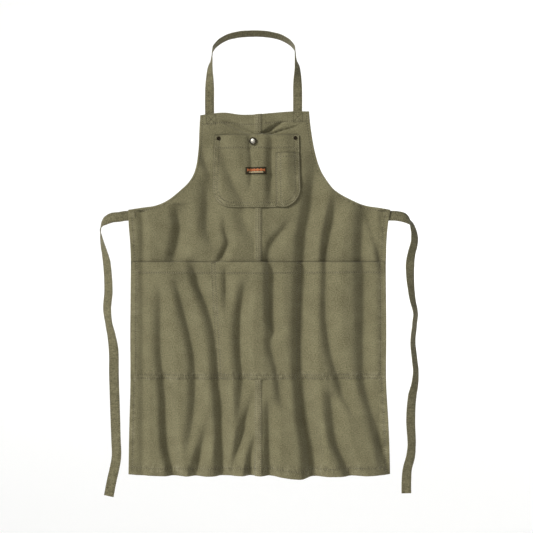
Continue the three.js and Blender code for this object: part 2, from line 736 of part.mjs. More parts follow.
function waistPocket() {
  const joint = WING_COLUMNS + 2;
  const lastBib = joint + 2 + BIB_COLUMNS;
  const half = (side) => {
    const inner = side < 0 ? LAP_START_X - HEM_STEP : SEAM_EDGE_X;
    return Array.from({ length: lastBib }, (_, k) => (row) => {
      const [x, z] = gridPlace(side, k + 1, row, inner);
      return k === 0 ? [sideX(side, z) - side * WAIST_POCKET_INSET, z] : [x, z];
    });
  };
  const middle = LAP_LINES.map((x) => (row) => [x, rowZ(row, x)]);
  const places = [...half(-1), ...middle, ...half(1).reverse()];
  const layers = (x, row) => {
    const turned = row <= 1 ? CLOTH : 0;
    return CLOTH / 2 + SEAT + turned + onLap(x) * (LAP_FRONT - CLOTH / 2);
  };
  const rise = (x, z) => pocketRise(acrossShare(x), clamp((POCKET_MOUTH_Z - z) / WAIST_POCKET_LENGTH));
  const corner = (column, row) => {
    const place = places[column];
    const [x, z] = place(POCKET_ROW + Math.max(0, row - 1));
    const hemFoot = POCKET_MOUTH_Z - WAIST_POCKET_HEM;
    return row === 1 ? [x, hemFoot + HEM_STEP] : row === 2 ? [x, hemFoot] : [x, z];
  };
  const frontAt = (column, row) => {
    const [x, z] = corner(column, row);
    return clothPoint(x, z, layers(x, row) + CLOTH, rise(x, z));
  };
  const backAt = (column, row) => {
    const [x, z] = corner(column, row);
    return clothPoint(x, z, layers(x, row) - (row <= 1 ? CLOTH : 0), rise(x, z));
  };
  return wall(places.length - 1, FOOT_ROW - POCKET_ROW + 1, frontAt, backAt);
}

// The chest pocket's outline: half its width at a depth below the mouth
const POCKET_MOUTH_BIB_Z = BIB_TOP_Z - BIB_POCKET_TOP;
function pocketHalfWidth(drop) {
  const round = Math.max(0, drop - (BIB_POCKET_LENGTH - BIB_POCKET_CORNER));
  const flare = 0.96 + 0.04 * Math.min(1, drop / (BIB_POCKET_LENGTH - BIB_POCKET_CORNER));
  const straight = (BIB_POCKET_WIDTH / 2) * flare;
  return straight - BIB_POCKET_CORNER + Math.sqrt(Math.max(0, BIB_POCKET_CORNER ** 2 - round ** 2));
}

// Depths of the chest pocket's rows: its hem, its straight part and its rounded corners
const CORNER_DROP = BIB_POCKET_LENGTH - BIB_POCKET_CORNER;
const CORNER_ROWS = 4;
const POCKET_DROPS = [
  0,
  BIB_POCKET_HEM - HEM_STEP,
  BIB_POCKET_HEM,
  ...steps(CORNER_ROWS).slice(1).map((share) => lerp(BIB_POCKET_HEM, CORNER_DROP, share)),
  ...steps(CORNER_ROWS).slice(1)
    .map((share) => CORNER_DROP + BIB_POCKET_CORNER * Math.sin((share * Math.PI) / 2)),
];

// How far the chest pocket stands off the bib: two lobes, one on each side of the button
function chestRise(x, drop) {
  const left = BIB_POCKET_X - pocketHalfWidth(0);
  const right = BIB_POCKET_X + pocketHalfWidth(0);
  const share = x < BUTTON_X ? (x - left) / (BUTTON_X - left) : (x - BUTTON_X) / (right - BUTTON_X);
  const lobe = Math.sin(Math.PI * clamp(share)) ** 2 * (x < BUTTON_X ? 0.7 : 1);
  return BIB_POCKET_GAPE * lobe * Math.max(0, 1 - drop / BIB_POCKET_LENGTH) ** 1.2;
}

// How far the chest pocket's outer layer lies in front of the bib where it is sewn down flat
function chestSeat(x, z) {
  const drop = POCKET_MOUTH_BIB_Z - z;
  return CLOTH / 2 + PATCH_SEAT + CLOTH * (1 - ease((drop - BIB_POCKET_HEM + HEM_STEP) / HEM_STEP))
    + onLap(x) * (LAP_FRONT - CLOTH / 2);
}

// A point on or in front of the back of the chest pocket's outer layer
function chestPoint(x, z, front = 0, lift = 0) {
  const drop = clamp(POCKET_MOUTH_BIB_Z - z, 0, BIB_POCKET_LENGTH);
  return clothPoint(x, z, chestSeat(x, z) + front, chestRise(x, drop) + lift);
}

function bibPocket() {
  const columns = 20;
  const place = (column, row) => {
    const drop = POCKET_DROPS[row];
    const z = POCKET_MOUTH_BIB_Z - drop;
    return [BIB_POCKET_X + pocketHalfWidth(drop) * ((2 * column) / columns - 1), z];
  };
  const frontAt = (column, row) => {
    const [x, z] = place(column, row);
    return chestPoint(x, z, CLOTH);
  };
  const backAt = (column, row) => {
    const [x, z] = place(column, row);
    return chestPoint(x, z, row <= 1 ? -CLOTH : 0);
  };
  return wall(columns, POCKET_DROPS.length - 1, frontAt, backAt);
}

const pencilLeft = BIB_POCKET_X + BIB_POCKET_WIDTH / 2 - PENCIL_POCKET_WIDTH;
function pencilPocket() {
  const columns = 6;
  const below = POCKET_DROPS.filter((drop) => drop > PENCIL_POCKET_TOP + PENCIL_FIRST_ROW);
  const drops = [PENCIL_POCKET_TOP, ...below];
  const place = (column, row) => {
    const drop = Math.min(drops[row], BIB_POCKET_LENGTH - PENCIL_POCKET_INSET);
    const right = BIB_POCKET_X + pocketHalfWidth(drop) - PENCIL_POCKET_INSET;
    return [lerp(pencilLeft, right, column / columns), POCKET_MOUTH_BIB_Z - drop];
  };
  const lift = (column, row) => {
    const down = (drops[row] - PENCIL_POCKET_TOP) / (BIB_POCKET_LENGTH - PENCIL_POCKET_TOP);
    return PENCIL_POCKET_GAPE * Math.sin((Math.PI * column) / columns) ** 2 * (1 - down);
  };
  const layer = (column, row, front) =>
    chestPoint(...place(column, row), CLOTH + PATCH_SEAT + front, lift(column, row));
  const frontAt = (column, row) => layer(column, row, CLOTH);
  const backAt = (column, row) => layer(column, row, 0);
  return wall(columns, drops.length - 1, frontAt, backAt);
}

function wovenLabel() {
  const [columns, rows] = [6, 3];
  const place = (column, row) => [
    LABEL_X + LABEL_WIDTH * (column / columns - 0.5),
    POCKET_MOUTH_BIB_Z - LABEL_DROP - LABEL_HEIGHT * (row / rows - 0.5),
  ];
  const level = CLOTH + SEAT * 2;
  const frontAt = (column, row) => chestPoint(...place(column, row), level + LABEL_THICKNESS);
  const backAt = (column, row) => chestPoint(...place(column, row), level);
  return wall(columns, rows, frontAt, backAt);
}

// A headed pin through the cloth, turned about +Y, with its foot behind the body panel
function pin(profile, sides) {
  const points = profile.map(([radius, height]) => new THREE.Vector2(radius, height));
  return new THREE.LatheGeometry(points, sides);
}

const trimSeat = (x, z) => chestSeat(x, z) + CLOTH + TRIM_SEAT + chestRise(x, POCKET_MOUTH_BIB_Z - z);
const backFace = -CLOTH / 2 - TRIM_SEAT;

function tackButton(x, z) {
  const seat = trimSeat(x, z);
  const top = seat + BUTTON_HEIGHT;
  const rim = BUTTON_RADIUS;
  return seatOnCloth(pin([
    [0, backFace - TRIM_BACK_THICKNESS],
    [BUTTON_BACK_RADIUS * 0.8, backFace - TRIM_BACK_THICKNESS],
    [BUTTON_BACK_RADIUS, backFace - TRIM_BACK_THICKNESS / 2],
    [BUTTON_BACK_RADIUS, backFace],
    [BUTTON_SHANK_RADIUS, backFace],
    [BUTTON_SHANK_RADIUS, seat],
    [rim * 0.85, seat],
    [rim, seat + BUTTON_HEIGHT * 0.35],
    [rim * 0.97, top - BUTTON_HEIGHT * 0.2],
    [rim * 0.86, top],
    [rim * 0.68, top - BUTTON_HEIGHT * 0.12],
    [rim * 0.62, top - BUTTON_HEIGHT * 0.3],
    [rim * 0.3, top - BUTTON_HEIGHT * 0.16],
    [0, top - BUTTON_HEIGHT * 0.12],
  ], 18), x, z);
}

function rivet(x, z) {
  const seat = trimSeat(x, z);
  const top = seat + RIVET_HEIGHT;
  return seatOnCloth(pin([
    [0, backFace - TRIM_BACK_THICKNESS],
    [RIVET_RADIUS, backFace - TRIM_BACK_THICKNESS],
    [RIVET_RADIUS, backFace],
    [RIVET_SHANK_RADIUS, backFace],
    [RIVET_SHANK_RADIUS, seat],
    [RIVET_RADIUS, seat],
    [RIVET_RADIUS * 0.9, seat + RIVET_HEIGHT * 0.6],
    [RIVET_RADIUS * 0.55, top],
    [RIVET_RADIUS * 0.3, top - RIVET_HEIGHT * 0.4],
    [0, top - RIVET_HEIGHT * 0.45],
  ], 12), x, z);
}

function shankHole(x, z, radius) {
  const reach = 12 * CLOTH;
  return seatOnCloth(new THREE.CylinderGeometry(radius, radius, 2 * reach, 12), x, z);
}

function buttonhole(x, z) {
  const slot = new THREE.Shape();
  const radius = BUTTONHOLE_WIDTH / 2;
  const straight = BUTTONHOLE_LENGTH / 2 - radius;
  slot.absarc(0, straight, radius, 0, Math.PI);
  slot.absarc(0, -straight, radius, Math.PI, 2 * Math.PI);
  const reach = 24 * CLOTH;
  const tool = new THREE.ExtrudeGeometry(slot, { depth: reach, bevelEnabled: false, curveSegments: 6 });
  tool.translate(0, -straight / 3, -reach / 2);
  tool.rotateX(Math.PI / 2);
  const foot = clothPoint(x, z, chestSeat(x, z));
  return tool.translate(foot.x, foot.y, foot.z);
}

function neckStrap() {
  const behind = -CLOTH * 1.5 - SEAT - STRAP_THICKNESS / 2;
  const leg = (side) => {
    const legX = STRAP_SHIFT + (side * STRAP_SPREAD) / 2;
    const top = topZ(legX);
    const seated = [-STRAP_OVERLAP, -STRAP_OVERLAP / 2, 0].map((rise) => ({
      place: clothPoint(legX, top + rise, behind),
      face: clothNormal(legX, top + rise),
    }));
    const start = clothPoint(legX, top, behind);
    const free = STRAP_ROUTE.map(([across, back, up, turn, lean]) => {
      const [yaw, pitch] = [turn, lean].map(THREE.MathUtils.degToRad);
      return {
        place: new THREE.Vector3(
          STRAP_SHIFT + (side * across * STRAP_SPREAD) / 2,
          lerp(start.y, STRAP_THICKNESS / 2, back),
          lerp(top, STRAP_THICKNESS / 2, up),
        ),
        face: new THREE.Vector3(
          side * Math.sin(yaw) * Math.cos(pitch), -Math.cos(yaw) * Math.cos(pitch), Math.sin(pitch),
        ),
      };
    });
    return [...seated, ...free];
  };
  return ribbon([...leg(-1), ...leg(1).reverse()], STRAP_WIDTH, STRAP_THICKNESS, 60);
}

function waistTie(side, route) {
  const seatX = cornerX(side);
  const seatZ = BIB_TOP_Z - ARMHOLE_DROP - TIE_SEAT_DROP;
  const behind = -CLOTH * 1.5 - SEAT - TIE_THICKNESS / 2;
  const seated = [TIE_OVERLAP, TIE_OVERLAP / 2, 0].map((inset) => ({
    place: clothPoint(seatX - side * inset, seatZ, behind),
    face: clothNormal(seatX - side * inset, seatZ),
  }));
  const start = seated[2].place;
  const free = route.map(([reach, fall, sway, turn]) => {
    const yaw = THREE.MathUtils.degToRad(turn);
    return {
      place: new THREE.Vector3(
        seatX + side * reach * TIE_REACH, start.y + sway * TIE_SWAY, seatZ - fall * TIE_FALL,
      ),
      face: new THREE.Vector3(side * Math.sin(yaw), -Math.cos(yaw), 0),
    };
  });
  return ribbon([...seated, ...free], TIE_WIDTH, TIE_THICKNESS, 44);
}

const group = new THREE.Group();
function add(name, geometry, finish) {
  const mesh = new THREE.Mesh(geometry, finish);
  mesh.name = name;
  group.add(mesh);
}

const buttonZ = POCKET_MOUTH_BIB_Z - BUTTON_DROP;
const rivetZ = POCKET_MOUTH_BIB_Z - RIVET_DROP;
const rivetX = (side) => BIB_POCKET_X + side * (pocketHalfWidth(RIVET_DROP) - RIVET_INSET);
const rivetHole = (side) => shankHole(rivetX(side), rivetZ, RIVET_SHANK_RADIUS + SHANK_CLEARANCE);
const buttonHole = shankHole(BUTTON_X, buttonZ, BUTTON_SHANK_RADIUS + SHANK_CLEARANCE);

add('body_left_panel', cut(bodyPanel(-1), [buttonHole, rivetHole(-1)]), CANVAS);
add('body_right_panel', cut(bodyPanel(1), [rivetHole(1)]), CANVAS);
add('waist_pocket', waistPocket(), CANVAS);
const pocketHoles = [buttonhole(BUTTON_X, buttonZ), rivetHole(-1), rivetHole(1)];
add('bib_pocket', cut(bibPocket(), pocketHoles), CANVAS);
add('pencil_pocket', pencilPocket(), CANVAS);
add('neck_strap', neckStrap(), WEBBING);
add('waist_tie_left', waistTie(-1, LEFT_TIE_ROUTE), WEBBING);
add('waist_tie_right', waistTie(1, RIGHT_TIE_ROUTE), WEBBING);
add('label', wovenLabel(), WOVEN_LABEL);
add('tack_button', tackButton(BUTTON_X, buttonZ), BUTTON_METAL);
add('rivet_left', rivet(rivetX(-1), rivetZ), RIVET_METAL);
add('rivet_right', rivet(rivetX(1), rivetZ), RIVET_METAL);

export default group;
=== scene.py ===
"""The looks of a canvas bib apron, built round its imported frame.

Every length in this file is in millimetres unless its name says otherwise, and a finished mesh is
in metres. The front of the apron faces -Y and +Z is up.
"""
import logging
import math
from dataclasses import dataclass, field
from enum import Enum
from typing import Callable, Optional, Sequence

import bmesh
import bpy
import numpy as np
from mathutils import Matrix, Vector


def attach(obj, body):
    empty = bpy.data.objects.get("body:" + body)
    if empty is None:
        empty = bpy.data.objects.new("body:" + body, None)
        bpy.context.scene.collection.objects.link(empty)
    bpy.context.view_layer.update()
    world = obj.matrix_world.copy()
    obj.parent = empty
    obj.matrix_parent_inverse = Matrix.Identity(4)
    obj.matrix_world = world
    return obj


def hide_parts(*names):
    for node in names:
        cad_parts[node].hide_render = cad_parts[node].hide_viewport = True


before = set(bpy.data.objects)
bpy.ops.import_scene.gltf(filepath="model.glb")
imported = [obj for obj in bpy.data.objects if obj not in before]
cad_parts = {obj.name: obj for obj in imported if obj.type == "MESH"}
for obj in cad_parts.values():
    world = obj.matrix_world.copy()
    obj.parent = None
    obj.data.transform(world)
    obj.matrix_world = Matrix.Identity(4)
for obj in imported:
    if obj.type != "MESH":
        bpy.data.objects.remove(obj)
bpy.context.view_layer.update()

log = logging.getLogger("apron")
MM = 0.001
Array = np.ndarray
Table = tuple[tuple[float, ...], ...]


class Side(Enum):
    """A side of the apron, as seen from the front."""

    LEFT = -1
    RIGHT = 1


# Small helpers


def ease(share: Array) -> Array:
    """Smooth step from 0 to 1 over shares 0 to 1."""
    share = np.clip(share, 0.0, 1.0)
    return share * share * (3.0 - 2.0 * share)


def lerp(low: Array, high: Array, share: Array) -> Array:
    """Straight mix of two values."""
    return low + (high - low) * share


def read(table: Table, column: int, at: Array) -> Array:
    """Smooth reading of one column of a table whose first column rises.

    Args:
        table: rows of numbers
        column: which column is read
        at: places along the first column

    Returns:
        The column's value at each place.
    """
    rows = np.asarray(table, float)
    keys, values = rows[:, 0], rows[:, column]
    last = len(keys) - 1
    place = np.clip(at, keys[0], keys[last])
    start = np.clip(np.searchsorted(keys, place, side="left") - 1, 0, last - 1)
    before, after = np.clip(start - 1, 0, last), np.clip(start + 2, 0, last)
    span = keys[start + 1] - keys[start]
    share = (place - keys[start]) / span
    slope_in = (values[start + 1] - values[before]) / (keys[start + 1] - keys[before]) * span
    slope_out = (values[after] - values[start]) / (keys[after] - keys[start]) * span
    square, cube = share**2, share**3
    return (
        values[start] * (2 * cube - 3 * square + 1)
        + values[start + 1] * (3 * square - 2 * cube)
        + slope_in * (cube - 2 * square + share)
        + slope_out * (cube - square)
    )


def noise(a: Array, b: Array, seed: float) -> Array:
    """Smooth noise from -1 to 1 over a plane, with one lump to each unit."""
    a, b = np.broadcast_arrays(np.asarray(a, float), np.asarray(b, float))
    cell_a, cell_b = np.floor(a), np.floor(b)
    part_a, part_b = ease(a - cell_a), ease(b - cell_b)

    def corner(step_a: int, step_b: int) -> Array:
        """Repeatable random value at one corner of each cell."""
        mixed = np.sin((cell_a + step_a) * 127.1 + (cell_b + step_b) * 311.7 + seed * 74.7) * 43758.5453
        return 2.0 * (mixed - np.floor(mixed)) - 1.0

    near = lerp(corner(0, 0), corner(1, 0), part_a)
    far = lerp(corner(0, 1), corner(1, 1), part_a)
    return lerp(near, far, part_b)


def shares(count: int) -> Array:
    """Even steps from 0 to 1."""
    return np.linspace(0.0, 1.0, count + 1)


EDGE_STEPS = (0.0, 0.03, 0.09, 0.2)  # the first stations in from a turned edge, as shares of its hem


def hem_stations(count: int) -> Array:
    """Stations across a hem from 0 at its edge to 1, close together where the cloth turns."""
    return np.concatenate([EDGE_STEPS, np.linspace(EDGE_STEPS[-1], 1.0, count + 1)[1:]])


def chain(*parts: Array) -> Array:
    """Joins runs of stations, each of which ends where the next one begins."""
    return np.concatenate([parts[0]] + [part[1:] for part in parts[1:]])


# How the cloth hangs


@dataclass(frozen=True)
class Fold:
    """A wall of cloth that turns from the light.

    Attributes:
        steep: width of the steep side as a share of half the body's width
        ease: width of the easy side that follows it
        path: rows of down share, across share and drop as a share of the fold depth
    """

    steep: float
    ease: float
    path: Table


FOLDS = (
    Fold(0.08, 0.1, (
        (0.07, -0.47, 0), (0.104, -0.455, 0.16), (0.132, -0.44, 0.26), (0.173, -0.4, 0.2), (0.21, -0.38, 0.1),
        (0.25, -0.35, 0),
    )),
    Fold(0.12, 0.11, (
        (0.05, -0.35, 0), (0.08, -0.33, 0.12), (0.132, -0.295, 0.24), (0.173, -0.255, 0.3), (0.214, -0.205, 0.3),
        (0.242, -0.165, 0.22), (0.283, -0.13, 0.1), (0.31, -0.1, 0),
    )),
    Fold(0.095, 0.12, (
        (0.02, 0.08, 0), (0.06, 0.078, 0.26), (0.132, 0.074, 0.42), (0.18, 0.07, 0.42), (0.25, 0.07, 0.16), (0.28, 0.065, 0),
    )),
    Fold(0.115, 0.15, (
        (0.08, 0.41, 0), (0.125, 0.405, 0.16), (0.176, 0.4, 0.28), (0.234, 0.372, 0.44), (0.258, 0.362, 0.5),
        (0.324, 0.327, 0.55), (0.401, 0.311, 0.6), (0.571, 0.292, 0.6), (0.68, 0.288, 0.64), (0.77, 0.303, 0.74),
        (0.846, 0.325, 0.84), (0.9, 0.352, 0.88), (0.956, 0.368, 0.92), (1, 0.375, 0.92),
    )),
    Fold(0.12, 0.13, (
        (0.165, -0.46, 0), (0.2, -0.44, 0.26), (0.25, -0.43, 0.4), (0.313, -0.436, 0.4), (0.346, -0.412, 0.26),
        (0.374, -0.381, 0.12), (0.4, -0.35, 0),
    )),
    Fold(0.11, 0.14, (
        (0.25, -0.67, 0.1), (0.275, -0.661, 0.4), (0.313, -0.646, 0.52), (0.352, -0.661, 0.48),
        (0.39, -0.685, 0.44), (0.412, -0.685, 0.26), (0.44, -0.68, 0),
    )),
    Fold(0.068, 0.08, (
        (0.26, -0.288, 0), (0.297, -0.288, 0.14), (0.324, -0.28, 0.26), (0.357, -0.257, 0.34),
        (0.379, -0.28, 0.34), (0.401, -0.311, 0.3), (0.418, -0.33, 0),
    )),
    Fold(0.12, 0.1, ((0.262, -0.2, 0), (0.28, -0.183, 0.16), (0.33, -0.11, 0.22), (0.368, -0.054, 0.12), (0.39, -0.03, 0))),
    Fold(0.08, 0.12, (
        (0.28, 0.233, 0), (0.313, 0.187, 0.16), (0.357, 0.086, 0.26), (0.401, 0.05, 0.3), (0.43, 0.06, 0.42),
        (0.516, 0.062, 0.5), (0.577, 0.07, 0.5), (0.599, 0.088, 0.42), (0.621, 0.066, 0.3), (0.654, 0.078, 0.3),
        (0.72, 0.125, 0.3), (0.786, 0.15, 0.24), (0.83, 0.17, 0),
    )),
    Fold(0.095, 0.13, (
        (0.2, 0.568, 0), (0.234, 0.564, 0.16), (0.275, 0.552, 0.44), (0.324, 0.521, 0.5), (0.374, 0.498, 0.5),
        (0.401, 0.494, 0.46), (0.46, 0.496, 0.38), (0.549, 0.494, 0.38), (0.626, 0.516, 0.38),
        (0.692, 0.556, 0.38), (0.736, 0.6, 0.36), (0.79, 0.65, 0.34), (0.82, 0.69, 0.2), (0.84, 0.71, 0),
    )),
    Fold(0.1, 0.13, (
        (0.74, 0.53, 0), (0.765, 0.53, 0.16), (0.79, 0.533, 0.36), (0.9, 0.568, 0.52), (0.956, 0.635, 0.56),
        (1, 0.69, 0.6),
    )),
    Fold(0.115, 0.13, (
        (0.24, 0.785, 0.15), (0.275, 0.78, 0.38), (0.313, 0.776, 0.42), (0.379, 0.765, 0.44), (0.423, 0.768, 0.42),
        (0.489, 0.774, 0.42), (0.571, 0.774, 0.42), (0.67, 0.776, 0.42), (0.731, 0.785, 0.42), (0.769, 0.806, 0.44),
        (0.791, 0.825, 0.44), (0.9, 0.912, 0.5), (0.956, 0.96, 0.5), (1, 1.0, 0.5),
    )),
    Fold(0.068, 0.07, ((0.264, 0.817, 0), (0.286, 0.84, 0.17), (0.352, 0.887, 0.22), (0.396, 0.918, 0.2), (0.43, 0.935, 0))),
    Fold(0.088, 0.12, (
        (0.467, -0.79, 0), (0.5, -0.786, 0.2), (0.571, -0.786, 0.32), (0.654, -0.786, 0.36), (0.714, -0.772, 0.4),
        (0.791, -0.755, 0.48), (0.901, -0.745, 0.54), (0.956, -0.716, 0.54), (1, -0.69, 0.54),
    )),
    Fold(0.088, 0.11, (
        (0.44, -0.677, 0), (0.478, -0.654, 0.28), (0.544, -0.607, 0.38), (0.6, -0.568, 0.4), (0.67, -0.529, 0.38),
        (0.714, -0.521, 0.36), (0.79, -0.521, 0.38), (0.846, -0.535, 0.32), (0.9, -0.56, 0.22), (0.95, -0.58, 0),
    )),
    Fold(0.088, 0.1, ((0.82, -0.42, 0), (0.893, -0.45, 0.34), (0.956, -0.494, 0.5), (1, -0.52, 0.5))),
    Fold(0.088, 0.11, (
        (0.39, -0.56, 0), (0.418, -0.541, 0.22), (0.44, -0.525, 0.4), (0.4725, -0.498, 0.45), (0.51, -0.451, 0.42),
        (0.549, -0.412, 0.4), (0.588, -0.381, 0.4), (0.626, -0.366, 0.42), (0.714, -0.346, 0.46),
        (0.79, -0.325, 0.56), (0.9, -0.318, 0.6), (1, -0.315, 0.62),
    )),
    Fold(0.068, 0.08, ((0.41, -0.275, 0), (0.44, -0.273, 0.22), (0.49, -0.272, 0.28), (0.53, -0.272, 0.12), (0.55, -0.27, 0))),
    Fold(0.095, 0.11, (
        (0.448, -0.12, 0), (0.478, -0.136, 0.26), (0.527, -0.16, 0.42), (0.599, -0.176, 0.48), (0.681, -0.17, 0.48),
        (0.725, -0.155, 0.44), (0.79, -0.165, 0.34), (0.83, -0.17, 0.2), (0.86, -0.175, 0),
    )),
    Fold(0.08, 0.1, ((0.74, -0.03, 0), (0.827, -0.106, 0.36), (0.88, -0.15, 0.46), (1, -0.24, 0.3))),
    Fold(0.075, 0.09, ((0.87, -0.035, 0), (0.945, -0.085, 0.42), (1, -0.09, 0.56))),
    Fold(0.068, 0.1, ((0.78, 0.055, 0), (0.82, 0.058, 0.24), (1, 0.058, 0.45))),
    Fold(0.05, 0.06, ((0.06, -0.09, 0), (0.082, -0.085, 0.12), (0.132, -0.07, 0.14), (0.173, -0.07, 0.14), (0.22, -0.08, 0))),
    Fold(0.07, 0.06, ((0.268, -0.935, 0.2), (0.31, -0.92, 0.2), (0.45, -0.92, 0.15), (1, -0.92, 0.12))),
    Fold(0.07, 0.06, ((0.268, 0.94, 0.12), (0.35, 0.93, 0.12), (0.45, 0.93, 0.14), (1, 0.93, 0.1))),
    Fold(0.07, 0.09, ((0.018, -0.3, 0), (0.03, -0.249, 0.16), (0.045, -0.17, 0.2), (0.058, -0.086, 0.16), (0.07, -0.03, 0))),
    Fold(0.055, 0.06, ((0.02, 0.19, 0), (0.028, 0.156, 0.14), (0.042, 0.09, 0.2), (0.055, 0.031, 0.18), (0.065, -0.01, 0))),
    Fold(0.055, 0.06, ((0.03, 0.31, 0), (0.038, 0.272, 0.08), (0.047, 0.18, 0.16), (0.056, 0.093, 0.14), (0.066, 0.03, 0))),
)

# Side edges: down as a share of the body's length, left and right as shares of half its width
SIDE_LINE: Table = (
    (0.268, -1.012, 1.027),
    (0.31, -1.008, 1.008),
    (0.36, -0.996, 0.996),
    (0.42, -0.991, 0.992),
    (0.60, -0.996, 0.996),
    (0.74, -0.995, 0.995),
    (0.87, -1.004, 1.015),
    (1.0, -1.01, 1.032),
)

# Armholes: down as a share of the drop to the tie corner, and across on the left and on the right
# as shares of the way from the bib's edge to that corner
ARMHOLE: Table = (
    (0, 0, 0),
    (0.17, 0.012, 0.02),
    (0.40, 0.024, 0.068),
    (0.585, 0.066, 0.136),
    (0.70, 0.138, 0.214),
    (0.80, 0.27, 0.313),
    (0.905, 0.45, 0.53),
    (0.958, 0.62, 0.70),
    (0.978, 0.80, 0.85),
    (1, 1, 1),
)
ARMHOLE_JOINT = 0.70  # down share where the bib's columns meet the armhole

# The bib's top edge: across as a share of its width from the left, lift as a share of its hem
TOP_LINE: Table = (
    (0, -0.20),
    (0.13, -0.03),
    (0.23, 0.03),
    (0.37, -0.16),
    (0.50, -0.14),
    (0.66, 0.0),
    (0.86, 0.14),
    (1, 0.15),
)

# The bottom edge: across as a share of half the width, drop as a share of the bottom hem
HEM_LINE: Table = (
    (-1.01, -0.20),
    (-0.85, -0.05),
    (-0.5, 0),
    (0.1, -0.05),
    (0.26, 0.28),
    (0.35, 0.34),
    (0.46, 0.10),
    (0.75, 0.05),
    (1.03, -0.10),
)

# Seams between the waist pocket's compartments: across shares at the mouth and at the foot
DIVIDERS: Table = ((-1, -1), (-0.348, -0.297), (0.309, 0.309), (1, 1))


@dataclass(frozen=True)
class Drape:
    """How the apron's cloth hangs: its outline, its folds and the surface that they make."""

    cloth: float = 1.2
    seat: float = 0.3
    patch_seat: float = 1.2
    lap_seat: float = 0.4
    trim_seat: float = 1.1
    lap_margin: float = 16
    lap_ramp: float = 15
    hem_step: float = 1.5
    body_length: float = 858
    body_width: float = 607.6
    body_shift: float = 2.9
    bib_width: float = 257.5
    bib_shift: float = -5.4
    armhole_drop: float = 229
    strap_drop: float = 203
    neck_depth: float = 105
    side_set_back: float = 14
    bib_lean: float = 14
    fold_depth: float = 35
    wall_lead: float = 0.66
    wall_power: float = 1.5
    top_hem: float = 26
    bottom_hem: float = 20
    side_hem: float = 12
    bib_hem: float = 9
    seam_width: float = 15.5
    seam_edge_x: float = 11.5
    probe: float = 1.0

    @property
    def bib_top_z(self) -> float:
        """Height of the bib's top."""
        return -self.strap_drop

    @property
    def hem_z(self) -> float:
        """Height of the bottom hem."""
        return self.bib_top_z - self.body_length

    @property
    def lap_start_x(self) -> float:
        """Where the centre seam's lap begins."""
        return self.seam_edge_x - self.seam_width

    @property
    def lap_back(self) -> float:
        """Back face of the lap, in front of the cloth's middle."""
        return self.cloth / 2 + self.lap_seat

    @property
    def lap_front(self) -> float:
        """Front face of the lap."""
        return self.lap_back + 1.5 * self.cloth

    def down(self, z: Array) -> Array:
        """Share of the body's length from the bib's top."""
        return (self.bib_top_z - z) / self.body_length

    def across(self, x: Array) -> Array:
        """Share of half the body's width from its middle."""
        return (x - self.body_shift) / (self.body_width / 2)

    def body_x(self, across: Array) -> Array:
        """Place of an across share."""
        return self.body_shift + across * self.body_width / 2

    def fold_drop(self, across: Array, down: Array) -> Array:
        """How far back the folds take the cloth."""
        depth = np.zeros(np.broadcast(across, down).shape)
        for fold in FOLDS:
            past = across - read(fold.path, 1, down) + self.wall_lead * fold.steep
            drop = np.maximum(0.0, read(fold.path, 2, down)) * self.fold_depth
            rise = np.clip(past / fold.steep, 0.0, 1.0) ** self.wall_power
            wall = ease(rise) * (1.0 - ease((past - fold.steep) / fold.ease))
            depth += np.where(down >= fold.path[0][0], drop * wall, 0.0)
        return depth

    def cloth_y(self, x: Array, z: Array) -> Array:
        """Depth of the middle surface of the body's cloth."""
        across, down = self.across(x), self.down(z)
        lean = self.bib_lean * np.maximum(0.0, 1.0 - down / SIDE_LINE[0][0]) ** 2
        curve = self.side_set_back * across**2
        return -self.neck_depth + curve + lean + self.fold_drop(across, down)

    def normal(self, x: Array, z: Array) -> Array:
        """Direction straight out of the front of the cloth."""
        step = self.probe
        slope_x = (self.cloth_y(x + step, z) - self.cloth_y(x - step, z)) / (2 * step)
        slope_z = (self.cloth_y(x, z + step) - self.cloth_y(x, z - step)) / (2 * step)
        out = np.stack([slope_x, np.full_like(slope_x, -1.0), slope_z], axis=-1)
        return out / np.linalg.norm(out, axis=-1, keepdims=True)

    def point(self, x: Array, z: Array, front: Array = 0.0, lift: Array = 0.0) -> Array:
        """Points in front of the cloth's middle surface.

        Args:
            x: places across
            z: heights
            front: how far out along the cloth's normal
            lift: how much further straight to the front, where a pocket gapes

        Returns:
            One row of x, y and z for each place.
        """
        x, z = np.broadcast_arrays(np.asarray(x, float), np.asarray(z, float))
        base = np.stack([x, self.cloth_y(x, z) - lift, z], axis=-1)
        return base + self.normal(x, z) * np.asarray(front, float)[..., None]

    def bib_edge(self, side: Side) -> float:
        """Side of the bib at its top."""
        return self.bib_shift + side.value * self.bib_width / 2

    def side_x(self, side: Side, z: Array) -> Array:
        """Side edge of the body below the armhole."""
        column = 1 if side is Side.LEFT else 2
        return self.body_x(read(SIDE_LINE, column, self.down(z)))

    def corner_x(self, side: Side) -> float:
        """Corner under the armhole, where the tie is sewn on."""
        return float(self.body_x(SIDE_LINE[0][1 if side is Side.LEFT else 2]))

    def armhole_z(self, side: Side, x: Array) -> Array:
        """Height of the armhole's edge."""
        across = (x - self.bib_edge(side)) / (self.corner_x(side) - self.bib_edge(side))
        turned = tuple((left if side is Side.LEFT else right, down) for down, left, right in ARMHOLE)
        return self.bib_top_z - self.armhole_drop * read(turned, 1, across)

    def armhole_x(self, side: Side, z: Array) -> Array:
        """Place of the armhole's edge beside the bib."""
        across = read(ARMHOLE, 1 if side is Side.LEFT else 2, (self.bib_top_z - z) / self.armhole_drop)
        return lerp(self.bib_edge(side), self.corner_x(side), across)

    def joint_x(self, side: Side) -> float:
        """Where the bib's columns meet the armhole."""
        return float(self.armhole_x(side, self.joint_z))

    @property
    def joint_z(self) -> float:
        """Height of that meeting place."""
        return self.bib_top_z - self.armhole_drop * ARMHOLE_JOINT

